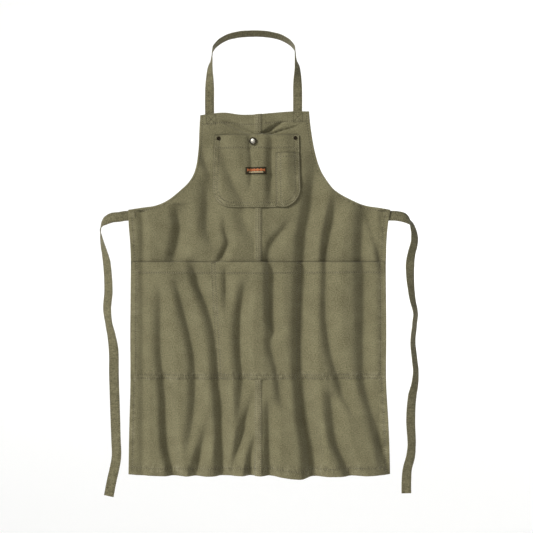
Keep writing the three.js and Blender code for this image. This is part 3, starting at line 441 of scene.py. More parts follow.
    def top_z(self, x: Array) -> Array:
        """Height of the bib's top edge."""
        share = (x - self.bib_edge(Side.LEFT)) / self.bib_width
        return self.bib_top_z + self.top_hem * read(TOP_LINE, 1, share)

    def foot_z(self, x: Array) -> Array:
        """Height of the bottom edge."""
        return self.hem_z - self.bottom_hem * read(HEM_LINE, 1, self.across(x))

    def on_lap(self, x: Array) -> Array:
        """How far a pocket has risen over the lap, from 0 to 1."""
        rise = ease((x - self.lap_start_x + self.lap_margin) / self.lap_ramp)
        fall = ease((self.seam_edge_x + self.lap_margin - x) / self.lap_ramp)
        return rise * fall


DRAPE = Drape()


# Seams: one description makes the puckers in the cloth and tells the shader where thread lies


@dataclass(frozen=True)
class SeamRow:
    """A row of stitches and the puckers beside it.

    Attributes:
        upright: whether the row runs down the cloth, and not across it
        start: lowest value of the coordinate that it runs along
        stop: highest value of that coordinate
        line: the other coordinate at each value of the first
        pucker: height of the ripples beside the row
        reach: how far from the row the ripples die away
        pitch: distance between ripples
        seed: picks the ripples
    """

    upright: bool
    start: float
    stop: float
    line: Callable[[Array], Array]
    pucker: float = 0.55
    reach: float = 8.0
    pitch: float = 8.0
    seed: float = 1.0

    def run(self, x: Array, z: Array) -> Array:
        """The coordinate that the row runs along."""
        return z if self.upright else x

    def gap(self, x: Array, z: Array) -> Array:
        """Distance beside the row, with its sign."""
        return (x if self.upright else z) - self.line(self.run(x, z))

    def away(self, x: Array, z: Array) -> Array:
        """Distance past the row's ends."""
        run = self.run(x, z)
        return np.maximum(0.0, np.maximum(self.start - run, run - self.stop))

    def relief(self, x: Array, z: Array) -> Array:
        """Height that the row's puckers add to the cloth."""
        run, gap = self.run(x, z), self.gap(x, z)
        inside = ease(1 - self.away(x, z) / self.pitch)
        slant = 0.45 * gap * noise(run / (5 * self.pitch), 0, self.seed + 9)
        ripple = noise((run + slant) / self.pitch, gap / (2.5 * self.reach), self.seed)
        return inside * self.pucker * ripple * np.exp(-((gap / self.reach) ** 2))

    @property
    def place(self) -> float:
        """Where the row's middle lies beside the others that run its way."""
        return float(self.line(np.array((self.start + self.stop) / 2)))


def wrinkles(x: Array, z: Array) -> Array:
    """Soft unevenness of washed cloth that hangs freely."""
    broad = noise(x / 34, z / 85, 4.0)
    small = noise((x + 0.2 * z) / 13, z / 34, 7.0)
    return 0.9 * broad + 0.28 * small


def edge_tone(puckers: Array, edge: Array) -> Array:
    """How far crests and turned edges are rubbed pale, and how far hollows are darkened, partly by dye that stays
    there and partly as painted shade, from -1 to 1.
    """
    return 0.5 * np.tanh(puckers / 0.7) + 0.5 * (1 - rounded(edge, 3.0))


def total_relief(rows: Sequence[SeamRow], x: Array, z: Array) -> Array:
    """Wrinkles and puckers together."""
    return wrinkles(x, z) + sum(row.relief(x, z) for row in rows)


def seam_marks(rows: Sequence[SeamRow], x: Array, z: Array) -> dict[str, Array]:
    """Tells the shader where rows of stitches and their puckers lie.

    The signed distance changes its sign from each row to the next, so it crosses zero only on a row.

    Args:
        rows: the rows of stitches
        x: places across
        z: heights

    Returns:
        Millimetres to the nearest row that runs up and that runs across, millimetres to the nearest
        of all, and the strength of the puckers of both kinds.
    """
    marks = {"seam_reach": np.full(np.shape(x), 99.0)}
    for way, upright in (("up", True), ("level", False)):
        signed, crinkle = np.full(np.shape(x), 99.0), np.zeros(np.shape(x))
        ordered = sorted((row for row in rows if row.upright is upright), key=lambda row: row.place)
        for number, row in enumerate(ordered):
            gap, away = row.gap(x, z), row.away(x, z)
            size = np.abs(gap) + away
            flip = 1 if number % 2 == 0 else -1
            signed = np.where(size < np.abs(signed), flip * np.copysign(size, gap), signed)
            fade = np.exp(-((gap / row.reach) ** 2)) * ease(1 - away / row.pitch)
            crinkle = np.maximum(crinkle, row.pucker * fade)
        marks["seam_" + way], marks["crinkle_" + way] = signed, crinkle
        marks["seam_reach"] = np.minimum(marks["seam_reach"], np.abs(signed))
    return marks


# Making meshes


class Slab:
    """A sheet with a front and a back, made from a grid whose vertices are then placed."""

    def __init__(self, name: str, columns: Array, rows: Array,
                 keep: Optional[Callable[[Array, Array], Array]] = None) -> None:
        """Makes the flat sheet.

        Args:
            name: the piece's name
            columns: stations across the sheet
            rows: stations down the sheet
            keep: says for arrays of column and row stations at the cells' middles which cells stay
        """
        self.name = name
        mesh_maker = bmesh.new()
        count_x, count_y = len(columns) - 1, len(rows) - 1
        bmesh.ops.create_grid(mesh_maker, x_segments=count_x, y_segments=count_y, size=1.0)
        mesh_maker.verts.ensure_lookup_table()
        flat = np.array([vert.co[:2] for vert in mesh_maker.verts])
        across = np.rint((flat[:, 0] + 1) * count_x / 2).astype(int)
        down = np.rint((flat[:, 1] + 1) * count_y / 2).astype(int)
        if keep is not None:
            middle_x, middle_y = (columns[1:] + columns[:-1]) / 2, (rows[1:] + rows[:-1]) / 2
            kept = keep(*np.meshgrid(middle_x, middle_y, indexing="ij"))
            gone = []
            for face in mesh_maker.faces:
                cell = [min(of[vert.index] for vert in face.verts) for of in (across, down)]
                if not kept[cell[0], cell[1]]:
                    gone.append(face)
            self._number(mesh_maker, across, down)
            bmesh.ops.delete(mesh_maker, geom=gone, context="FACES")
        else:
            self._number(mesh_maker, across, down)
        front_flag = mesh_maker.verts.layers.int.new("front")
        raised = bmesh.ops.extrude_face_region(mesh_maker, geom=mesh_maker.faces[:], use_keep_orig=True)
        for item in raised["geom"]:
            if isinstance(item, bmesh.types.BMVert):
                item[front_flag] = 1
                item.co.z = 0.1
        bmesh.ops.recalc_face_normals(mesh_maker, faces=mesh_maker.faces[:])
        self.mesh = bpy.data.meshes.new(name)
        mesh_maker.to_mesh(self.mesh)
        mesh_maker.free()
        self.columns = columns[self._column_numbers("across")]
        self.rows = rows[self._column_numbers("down")]
        self.front = self._column_numbers("front").astype(bool)

    @staticmethod
    def _number(mesh_maker: bmesh.types.BMesh, across: Array, down: Array) -> None:
        """Notes each vertex's column and row in the mesh."""
        across_layer = mesh_maker.verts.layers.int.new("across")
        down_layer = mesh_maker.verts.layers.int.new("down")
        for vert, column, row in zip(mesh_maker.verts, across, down):
            vert[across_layer] = int(column)
            vert[down_layer] = int(row)

    def _column_numbers(self, name: str) -> Array:
        """Reads back a number noted for each vertex."""
        values = np.zeros(len(self.mesh.vertices), np.int32)
        self.mesh.attributes[name].data.foreach_get("value", values)
        return values

    def finish(self, points: Array, flat: Array, marks: dict[str, Array]) -> bpy.types.Object:
        """Places the vertices and makes the object.

        Args:
            points: x, y and z of each vertex
            flat: place of each vertex on the flat cloth, for the weave
            marks: values at each vertex for the shader, by name

        Returns:
            The finished object.
        """
        mesh = self.mesh
        mesh.vertices.foreach_set("co", (points * MM).astype(np.float32).ravel())
        for name in ("across", "down", "front"):
            mesh.attributes.remove(mesh.attributes[name])
        for name, values in marks.items():
            attribute = mesh.attributes.new(name, "FLOAT", "POINT")
            attribute.data.foreach_set("value", np.clip(values, -99, 99).astype(np.float32))
        corners = np.zeros(len(mesh.loops), np.int32)
        mesh.loops.foreach_get("vertex_index", corners)
        layer = mesh.uv_layers.new(name="cloth")
        layer.uv.foreach_set("vector", (flat[corners] * MM).astype(np.float32).ravel())
        mesh_maker = bmesh.new()
        mesh_maker.from_mesh(mesh)
        bmesh.ops.recalc_face_normals(mesh_maker, faces=mesh_maker.faces[:])
        mesh_maker.to_mesh(mesh)
        mesh_maker.free()
        mesh.shade_smooth()
        mesh.update()
        return link(self.name, mesh)


def link(name: str, mesh: bpy.types.Mesh) -> bpy.types.Object:
    """Puts a mesh into the scene under a name."""
    piece = bpy.data.objects.new(name, mesh)
    bpy.context.scene.collection.objects.link(piece)
    return piece


def rounded(distance: Array, radius: float) -> Array:
    """Share of full thickness at a distance from a turned edge."""
    share = np.clip(distance / radius, 0.0, 1.0)
    return 0.3 + 0.7 * np.sqrt(1.0 - (1.0 - share) ** 2)


def through(*corners: tuple[float, float]) -> Array:
    """Places about a millimetre apart on straight lines from corner to corner."""
    runs = [np.linspace(start, end, int(math.dist(start, end)) + 2) for start, end in zip(corners, corners[1:])]
    return np.concatenate(runs)


class Thread:
    """Stitches of one sub-assembly, joined in one mesh."""

    LENGTH_SHARE = 0.86
    SIDES = 5
    RINGS = 4

    def __init__(self, name: str, width: float = 0.85, pitch: float = 3.4) -> None:
        """Starts an empty set.

        Args:
            name: the piece's name
            width: the thread's width
            pitch: length from one stitch to the next
        """
        self.name, self.width, self.pitch = name, width, pitch
        self.spans: list[tuple[Array, Array, Array]] = []

    def sew(self, points: Array, normals: Array, pitch: Optional[float] = None) -> None:
        """Adds a row of stitches along points that lie on the cloth.

        Args:
            points: the path in millimetres
            normals: the cloth's outward direction at each point
            pitch: length of a stitch where it isn't the usual one
        """
        lengths = np.concatenate([[0.0], np.cumsum(np.linalg.norm(np.diff(points, axis=0), axis=1))])
        count = max(1, int(round(lengths[-1] / (pitch or self.pitch))))
        marks = np.linspace(0.0, lengths[-1], count + 1)

        def along(values: Array, at: Array) -> Array:
            """Values at lengths along the path."""
            return np.stack([np.interp(at, lengths, values[:, axis]) for axis in range(3)], axis=-1)

        starts, ends = along(points, marks[:-1]), along(points, marks[1:])
        self.spans.append((starts, ends, along(normals, (marks[:-1] + marks[1:]) / 2)))

    def build(self) -> bpy.types.Object:
        """Joins a copy of one stitch for every span.

        Returns:
            The finished object.
        """
        maker = bmesh.new()
        bmesh.ops.create_uvsphere(maker, u_segments=self.SIDES, v_segments=self.RINGS, radius=0.5)
        bmesh.ops.rotate(maker, verts=maker.verts, matrix=Matrix.Rotation(math.pi / 2, 3, "Y"))
        maker.verts.index_update()
        shape = np.array([vert.co for vert in maker.verts])
        faces = [[vert.index for vert in face.verts] for face in maker.faces]
        maker.free()
        starts, ends, normals = (np.concatenate([span[k] for span in self.spans]) for k in range(3))
        run = ends - starts
        lengths = np.linalg.norm(run, axis=1, keepdims=True)
        run = run / np.maximum(lengths, 1e-6)
        side = np.cross(run, normals)
        side /= np.maximum(np.linalg.norm(side, axis=1, keepdims=True), 1e-6)
        out = np.cross(side, run)
        middles = (starts + ends) / 2 + out * self.width * 0.1
        reach = shape[None, :, 0:1] * (lengths * self.LENGTH_SHARE)[:, None, :]
        points = (
            middles[:, None, :]
            + run[:, None, :] * reach
            + side[:, None, :] * shape[None, :, 1:2] * self.width
            + out[:, None, :] * shape[None, :, 2:3] * self.width
        )
        count = len(middles)
        joined = [[number + copy * len(shape) for number in face] for copy in range(count) for face in faces]
        mesh = bpy.data.meshes.new(self.name)
        mesh.from_pydata((points.reshape(-1, 3) * MM).tolist(), [], joined)
        mesh.shade_smooth()
        log.info("%s: %d stitches", self.name, count)
        return link(self.name, mesh)


# Finishes


def linear(colour: str) -> tuple[float, float, float, float]:
    """An sRGB hex colour as linear red, green, blue and alpha."""
    parts = [int(colour[k : k + 2], 16) / 255 for k in (1, 3, 5)]
    turned = [part / 12.92 if part <= 0.04045 else ((part + 0.055) / 1.055) ** 2.4 for part in parts]
    return (*turned, 1.0)


def add_node(tree: bpy.types.NodeTree, kind: str, settings: Optional[dict] = None,
             inputs: Optional[dict] = None) -> bpy.types.Node:
    """Adds a node.

    Args:
        tree: the material's nodes
        kind: the node's type
        settings: attributes to set
        inputs: a value or an output socket for each input, by name or number

    Returns:
        The new node.
    """
    node = tree.nodes.new(kind)
    for name, value in (settings or {}).items():
        setattr(node, name, value)
    for name, value in (inputs or {}).items():
        if isinstance(value, bpy.types.NodeSocket):
            tree.links.new(value, node.inputs[name])
        else:
            node.inputs[name].default_value = value
    return node


def sum_node(tree: bpy.types.NodeTree, operation: str, *terms: object) -> bpy.types.NodeSocket:
    """One sum of numbers or output sockets."""
    return add_node(tree, "ShaderNodeMath", {"operation": operation}, dict(enumerate(terms))).outputs[0]


def ramp_node(tree: bpy.types.NodeTree, value: bpy.types.NodeSocket, low: float, high: float,
              start: float = 0.0, end: float = 1.0) -> bpy.types.NodeSocket:
    """Smooth step of a socket from one value, at low, to another, at high."""
    return add_node(tree, "ShaderNodeMapRange", {"interpolation_type": "SMOOTHSTEP"},
                    {"Value": value, "From Min": low, "From Max": high, "To Min": start,
                     "To Max": end}).outputs[0]


def mark_node(tree: bpy.types.NodeTree, name: str) -> bpy.types.NodeSocket:
    """A value that the mesh carries at its vertices."""
    return add_node(tree, "ShaderNodeAttribute", {"attribute_name": name}).outputs["Fac"]


def start_material(name: str) -> tuple[bpy.types.Material, bpy.types.NodeTree, bpy.types.Node]:
    """Makes a material that holds only its shader and output."""
    material = bpy.data.materials.new(name)
    material.use_nodes = True
    tree = material.node_tree
    shader = next(node for node in tree.nodes if node.type == "BSDF_PRINCIPLED")
    return material, tree, shader


@dataclass(frozen=True)
class WovenCotton:
    """Cotton canvas, plain woven, dyed as a garment and washed.

    Washing raises a dull nap, so it has no gloss. The dye takes unevenly, the cloth puckers beside
    every seam, and the stitches lie in a groove; grooves and pucker hollows are drawn dark, partly
    with dye and partly with painted shade.

    Attributes:
        name: the material's name
        light: colour of the palest clouds of dye
        dark: colour of the deepest clouds
        rubbed: colour of worn crests
        groove: colour of seam grooves, pucker hollows and the dark lines by pocket mouths and edges; partly dye that
            stays dark, partly painted shade
        stitch: colour of the sewing thread
        thread: spacing of the threads; real canvas has 0.6, drawn coarser so that it shows
        slub: size of the thick and thin places in the yarn
        cloud: size of the clouds in the dye
        grain: how far the slubs change the dye
        pitch: length of a stitch; real ones have 3.4, drawn coarser so that they show
        stitch_width: half the width of a stitch
        groove_width: half the width of the groove round it
        pucker_long: length of a pucker away from its seam
        pucker_short: distance from one pucker to the next
        pucker_depth: height of the puckers
    """

    name: str
    light: str
    dark: str
    rubbed: str
    groove: str
    stitch: str = "#8f896a"
    thread: float = 1.3
    slub: float = 2.7
    cloud: float = 42.0
    grain: float = 0.5
    pitch: float = 5.4
    stitch_width: float = 0.75
    groove_width: float = 1.65
    pucker_long: float = 15.0
    pucker_short: float = 5.0
    pucker_depth: float = 2.0
    roughness: float = 0.92
    sheen: float = 0.12
    weave_depth: float = 0.10
    slub_depth: float = 0.6

    def puckers(self, tree: bpy.types.NodeTree, scaled: bpy.types.NodeSocket) -> bpy.types.NodeSocket:
        """Short ridges that run away from the seams, as a height from -1 to 1."""
        total = None
        for way, size in (("up", (self.pucker_long, self.pucker_short)),
                          ("level", (self.pucker_short, self.pucker_long))):
            place = add_node(tree, "ShaderNodeVectorMath", {"operation": "MULTIPLY"},
                             {0: scaled, 1: (1 / size[0], 1 / size[1], 0.0)}).outputs[0]
            lumps = add_node(tree, "ShaderNodeTexNoise", None,
                             {"Vector": place, "Scale": 1.0, "Detail": 2.0, "Distortion": 0.6}).outputs[0]
            height = sum_node(tree, "MULTIPLY", sum_node(tree, "SUBTRACT", lumps, 0.5),
                              mark_node(tree, "crinkle_" + way))
            total = height if total is None else sum_node(tree, "ADD", total, height)
        return sum_node(tree, "MULTIPLY", total, 2.0)

    def seams(self, tree: bpy.types.NodeTree, run: bpy.types.NodeSocket) -> tuple:
        """Shares of the groove and of the stitches in it, from 0 to 1."""
        near = ramp_node(tree, mark_node(tree, "seam_reach"), 2.6, 4.0, 1.0, 0.0)
        dash = ramp_node(tree, sum_node(tree, "SINE", sum_node(tree, "MULTIPLY", run, 2 * math.pi / self.pitch)),
                         -0.5, 0.3)
        found = []
        for width in (self.groove_width, self.stitch_width):
            shares_of = [ramp_node(tree, sum_node(tree, "ABSOLUTE", mark_node(tree, "seam_" + way)),
                                   width * 0.35, width, 1.0, 0.0) for way in ("up", "level")]
            found.append(sum_node(tree, "MULTIPLY", sum_node(tree, "MAXIMUM", *shares_of), near))
        return found[0], sum_node(tree, "MULTIPLY", found[1], dash)

    def build(self) -> bpy.types.Material:
        """Makes the material."""
        material, tree, shader = start_material(self.name)
        flat = add_node(tree, "ShaderNodeUVMap", {"uv_map": "cloth"}).outputs[0]
        scaled = add_node(tree, "ShaderNodeVectorMath", {"operation": "SCALE"},
                          {0: flat, "Scale": 1 / MM}).outputs[0]
        parts = add_node(tree, "ShaderNodeSeparateXYZ", None, {0: scaled})
        waves = []
        for axis in (0, 1):
            turns = add_node(tree, "ShaderNodeMath", {"operation": "MULTIPLY"},
                             {0: parts.outputs[axis], 1: math.pi / self.thread})
            waves.append(add_node(tree, "ShaderNodeMath", {"operation": "SINE"}, {0: turns.outputs[0]}))
        weave = add_node(tree, "ShaderNodeMath", {"operation": "MULTIPLY"},
                         {0: waves[0].outputs[0], 1: waves[1].outputs[0]}).outputs[0]
        clouds = add_node(tree, "ShaderNodeTexNoise", None,
                          {"Vector": scaled, "Scale": 1 / self.cloud, "Detail": 5.0, "Roughness": 0.6})
        slubs = add_node(tree, "ShaderNodeTexNoise", None,
                         {"Vector": scaled, "Scale": 1 / self.slub, "Detail": 3.0, "Roughness": 0.55})
        grain = add_node(tree, "ShaderNodeMapRange", None,
                         {"Value": slubs.outputs[0], "From Min": 0.3, "From Max": 0.7,
                          "To Min": -self.grain, "To Max": self.grain})
        dye = sum_node(tree, "ADD", clouds.outputs[0], grain.outputs[0])
        base = add_node(tree, "ShaderNodeMix", {"data_type": "RGBA", "clamp_factor": True},
                        {"Factor": dye, 6: linear(self.dark), 7: linear(self.light)})
        puckers = self.puckers(tree, scaled)
        groove, stitch = self.seams(tree, sum_node(tree, "ADD", parts.outputs[0], parts.outputs[1]))
        # Tone from the mark and the puckers: above zero mixes towards the rubbed colour, below zero towards the groove
        # colour, which in hollows, grooves and gaps is partly dye and partly painted shade.
        tone = sum_node(tree, "ADD", mark_node(tree, "tone"), sum_node(tree, "MULTIPLY", puckers, 1.15))
        colour = base.outputs[2]
        for factor, tint in (
            (sum_node(tree, "MULTIPLY", tone, slubs.outputs[0]), self.rubbed),
            (sum_node(tree, "MULTIPLY", sum_node(tree, "MULTIPLY", tone, -1.0), slubs.outputs[0]), self.groove),
            (sum_node(tree, "MULTIPLY", groove, 0.56), self.groove),
            (sum_node(tree, "MULTIPLY", stitch, 0.8), self.stitch),
        ):
            colour = add_node(tree, "ShaderNodeMix", {"data_type": "RGBA", "clamp_factor": True},
                              {"Factor": factor, 6: colour, 7: linear(tint)}).outputs[2]
        height = sum_node(tree, "MULTIPLY", puckers, self.pucker_depth)
        height = sum_node(tree, "SUBTRACT", height, sum_node(tree, "MULTIPLY", groove, 0.5))
        height = sum_node(tree, "ADD", height, sum_node(tree, "MULTIPLY", stitch, 0.3))
        weave_bump = add_node(tree, "ShaderNodeBump", None,
                              {"Height": weave, "Strength": 0.6, "Distance": self.weave_depth * MM})
        slub_bump = add_node(tree, "ShaderNodeBump", None,
                             {"Height": slubs.outputs[0], "Strength": 0.8, "Distance": self.slub_depth * MM,
                              "Normal": weave_bump.outputs[0]})
        bump = add_node(tree, "ShaderNodeBump", None,
                        {"Height": height, "Strength": 1.0, "Distance": MM, "Normal": slub_bump.outputs[0]})
        tree.links.new(colour, shader.inputs["Base Color"])
        tree.links.new(bump.outputs[0], shader.inputs["Normal"])
        shader.inputs["Roughness"].default_value = self.roughness
        shader.inputs["Sheen Weight"].default_value = self.sheen
        shader.inputs["Specular IOR Level"].default_value = 0.25
        return material


@dataclass(frozen=True)
class CottonThread:
    """Cotton sewing thread, twisted and dyed with the cloth: dull, and drawn darker than the canvas as painted shade
    of the grooves that the stitches sink into.
    """

    name: str
    light: str
    dark: str
    patch: float = 6.0
    roughness: float = 0.85

    def build(self) -> bpy.types.Material:
        """Makes the material."""
        material, tree, shader = start_material(self.name)
        place = add_node(tree, "ShaderNodeTexCoord").outputs["Object"]
        clouds = add_node(tree, "ShaderNodeTexNoise", None,
                          {"Vector": place, "Scale": 1 / (self.patch * MM), "Detail": 2.0})
        colour = add_node(tree, "ShaderNodeMix", {"data_type": "RGBA", "clamp_factor": True},
                          {"Factor": clouds.outputs[0], 6: linear(self.dark), 7: linear(self.light)})
        tree.links.new(colour.outputs[2], shader.inputs["Base Color"])
        shader.inputs["Roughness"].default_value = self.roughness
        return material


@dataclass(frozen=True)
class WovenLabelFinish:
    """Damask label, woven in fine polyester: flat, faintly shiny, with crisp small figures."""

    name: str = "woven_label_damask"
    ground: str = "#2b2514"
    line: str = "#a09272"
    figure: str = "#9c5a34"
    motifs: int = 7
    thread: float = 0.5

    def build(self) -> bpy.types.Material:
        """Makes the material."""
        material, tree, shader = start_material(self.name)
        flat = add_node(tree, "ShaderNodeUVMap", {"uv_map": "cloth"}).outputs[0]
        parts = add_node(tree, "ShaderNodeSeparateXYZ", None, {0: flat})

        along, down = parts.outputs[:2]

        def from_middle(value: object, middle: float) -> bpy.types.NodeSocket:
            """Distance from a line of the pattern."""
            return sum_node(tree, "ABSOLUTE", sum_node(tree, "SUBTRACT", value, middle))

        repeat = sum_node(tree, "FRACT", sum_node(tree, "MULTIPLY", along, float(self.motifs)))
        spread = sum_node(tree, "ADD", sum_node(tree, "MULTIPLY", from_middle(repeat, 0.5), 0.22),
                          from_middle(down, 0.4))
        inside = from_middle(along, 0.5)
        lozenge = sum_node(tree, "MULTIPLY", sum_node(tree, "LESS_THAN", spread, 0.2),
                           sum_node(tree, "LESS_THAN", inside, 0.43))
        rule = sum_node(tree, "MULTIPLY", sum_node(tree, "LESS_THAN", from_middle(down, 0.69), 0.075),
                        sum_node(tree, "LESS_THAN", inside, 0.36))
        colour = linear(self.ground)
        for mask, tint in ((lozenge, self.figure), (rule, self.line)):
            colour = add_node(tree, "ShaderNodeMix", {"data_type": "RGBA"},
                              {"Factor": mask, 6: colour, 7: linear(tint)}).outputs[2]
        ribs = add_node(tree, "ShaderNodeTexWave", {"bands_direction": "Y"},
                        {"Vector": add_node(tree, "ShaderNodeTexCoord").outputs["Object"],
                         "Scale": 0.314 / (self.thread * MM)})
        bump = add_node(tree, "ShaderNodeBump", None,
                        {"Height": ribs.outputs[1], "Strength": 0.4, "Distance": 0.0001})
        tree.links.new(colour, shader.inputs["Base Color"])
        tree.links.new(bump.outputs[0], shader.inputs["Normal"])
        shader.inputs["Roughness"].default_value = 0.7
        shader.inputs["Specular IOR Level"].default_value = 0.2
        return material


@dataclass(frozen=True)
class StampedMetal:
    """Stamped sheet metal: turned bright or left to darken, with scratches too fine to follow.

    Attributes:
        name: the material's name
        bright: colour of the metal where it is rubbed
        tarnish: colour of the oxide in its hollows
        share: how much of the surface the oxide takes
        roughness: how dull it is
        spot: size of the spots of oxide
        rim: radius share beyond which the whole surface takes the tarnish colour
    """

    name: str
    bright: str
    tarnish: str
    share: float
    roughness: float
    spot: float = 1.6
    rim: float = 2.0

    def build(self) -> bpy.types.Material:
        """Makes the material."""
        material, tree, shader = start_material(self.name)
        place = add_node(tree, "ShaderNodeTexCoord").outputs["Object"]
        spots = add_node(tree, "ShaderNodeTexNoise", None,
                         {"Vector": place, "Scale": 1 / (self.spot * MM), "Detail": 4.0})
        mask = add_node(tree, "ShaderNodeMapRange", None,
                        {"Value": spots.outputs[0], "From Min": 0.62 - self.share * 0.5,
                         "From Max": 0.78 - self.share * 0.5, "To Min": 1.0, "To Max": 0.0})
        inner = ramp_node(tree, mark_node(tree, "radius"), self.rim, self.rim + 0.08, 1.0, 0.0)
        colour = add_node(tree, "ShaderNodeMix", {"data_type": "RGBA", "clamp_factor": True},
                          {"Factor": sum_node(tree, "MULTIPLY", mask.outputs[0], inner),
                           6: linear(self.tarnish), 7: linear(self.bright)})
        rough = add_node(tree, "ShaderNodeMapRange", None,
                         {"Value": spots.outputs[0], "To Min": self.roughness * 0.8,
                          "To Max": self.roughness * 1.3})
        bump = add_node(tree, "ShaderNodeBump", None,
                        {"Height": spots.outputs[0], "Strength": 0.3, "Distance": 0.0001})
        tree.links.new(colour.outputs[2], shader.inputs["Base Color"])
        tree.links.new(rough.outputs[0], shader.inputs["Roughness"])
        tree.links.new(bump.outputs[0], shader.inputs["Normal"])
        shader.inputs["Metallic"].default_value = 1.0
        return material


CANVAS = WovenCotton("washed_cotton_canvas", light="#787357", dark="#555038", rubbed="#9a9377", groove="#3f3a2a")
STRAP_CANVAS = WovenCotton("folded_cotton_canvas", light="#757054", dark="#4c4732", rubbed="#948d71", groove="#36311f",
                           cloud=14.0, slub=4.0)
# Thread drawn darker than the canvas: painted shade of the grooves that its stitches sink into.
THREAD = CottonThread("cotton_sewing_thread", light="#5d583f", dark="#46412d")
LABEL_FINISH = WovenLabelFinish()
NICKEL = StampedMetal("nickel_plated_brass", bright="#a5a297", tarnish="#3d392f", share=0.1, roughness=0.42, rim=0.56)
DARK_BRASS = StampedMetal("oxidised_brass", bright="#6b5c48", tarnish="#2a241c", share=0.75, roughness=0.48)


def dress(piece: bpy.types.Object, material: bpy.types.Material, slot: str, *nodes: str) -> None:
    """Gives a piece its material and its body, and hides the frame nodes that it stands for.

    Args:
        piece: the finished object
        material: its finish
        slot: the record's slot that the finish belongs to; not used
        nodes: names of the nodes that it replaces
    """
    piece.data.materials.append(material)
    if nodes:
        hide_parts(*nodes)
    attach(piece, "root")
    log.info("%s: %d faces", piece.name, len(piece.data.polygons))


# Sub-assemblies


# Corners of the crossed boxes that hold the neck strap, and of the tacks that hold the ties
BODY_TACKS = (
    ((-120, -207), (-97, -207), (-97, -230), (-120, -230), (-120, -207), (-97, -230)),
    ((-120, -230), (-97, -207)),
    ((85, -202), (107, -202), (107, -225), (85, -225), (85, -202), (107, -225)),
    ((85, -225), (107, -202)),
    ((-288, -438), (-288, -451), (-286.5, -451), (-286.5, -438)),
    ((296, -432), (311, -431), (311, -448), (296, -449), (296, -432)),
)


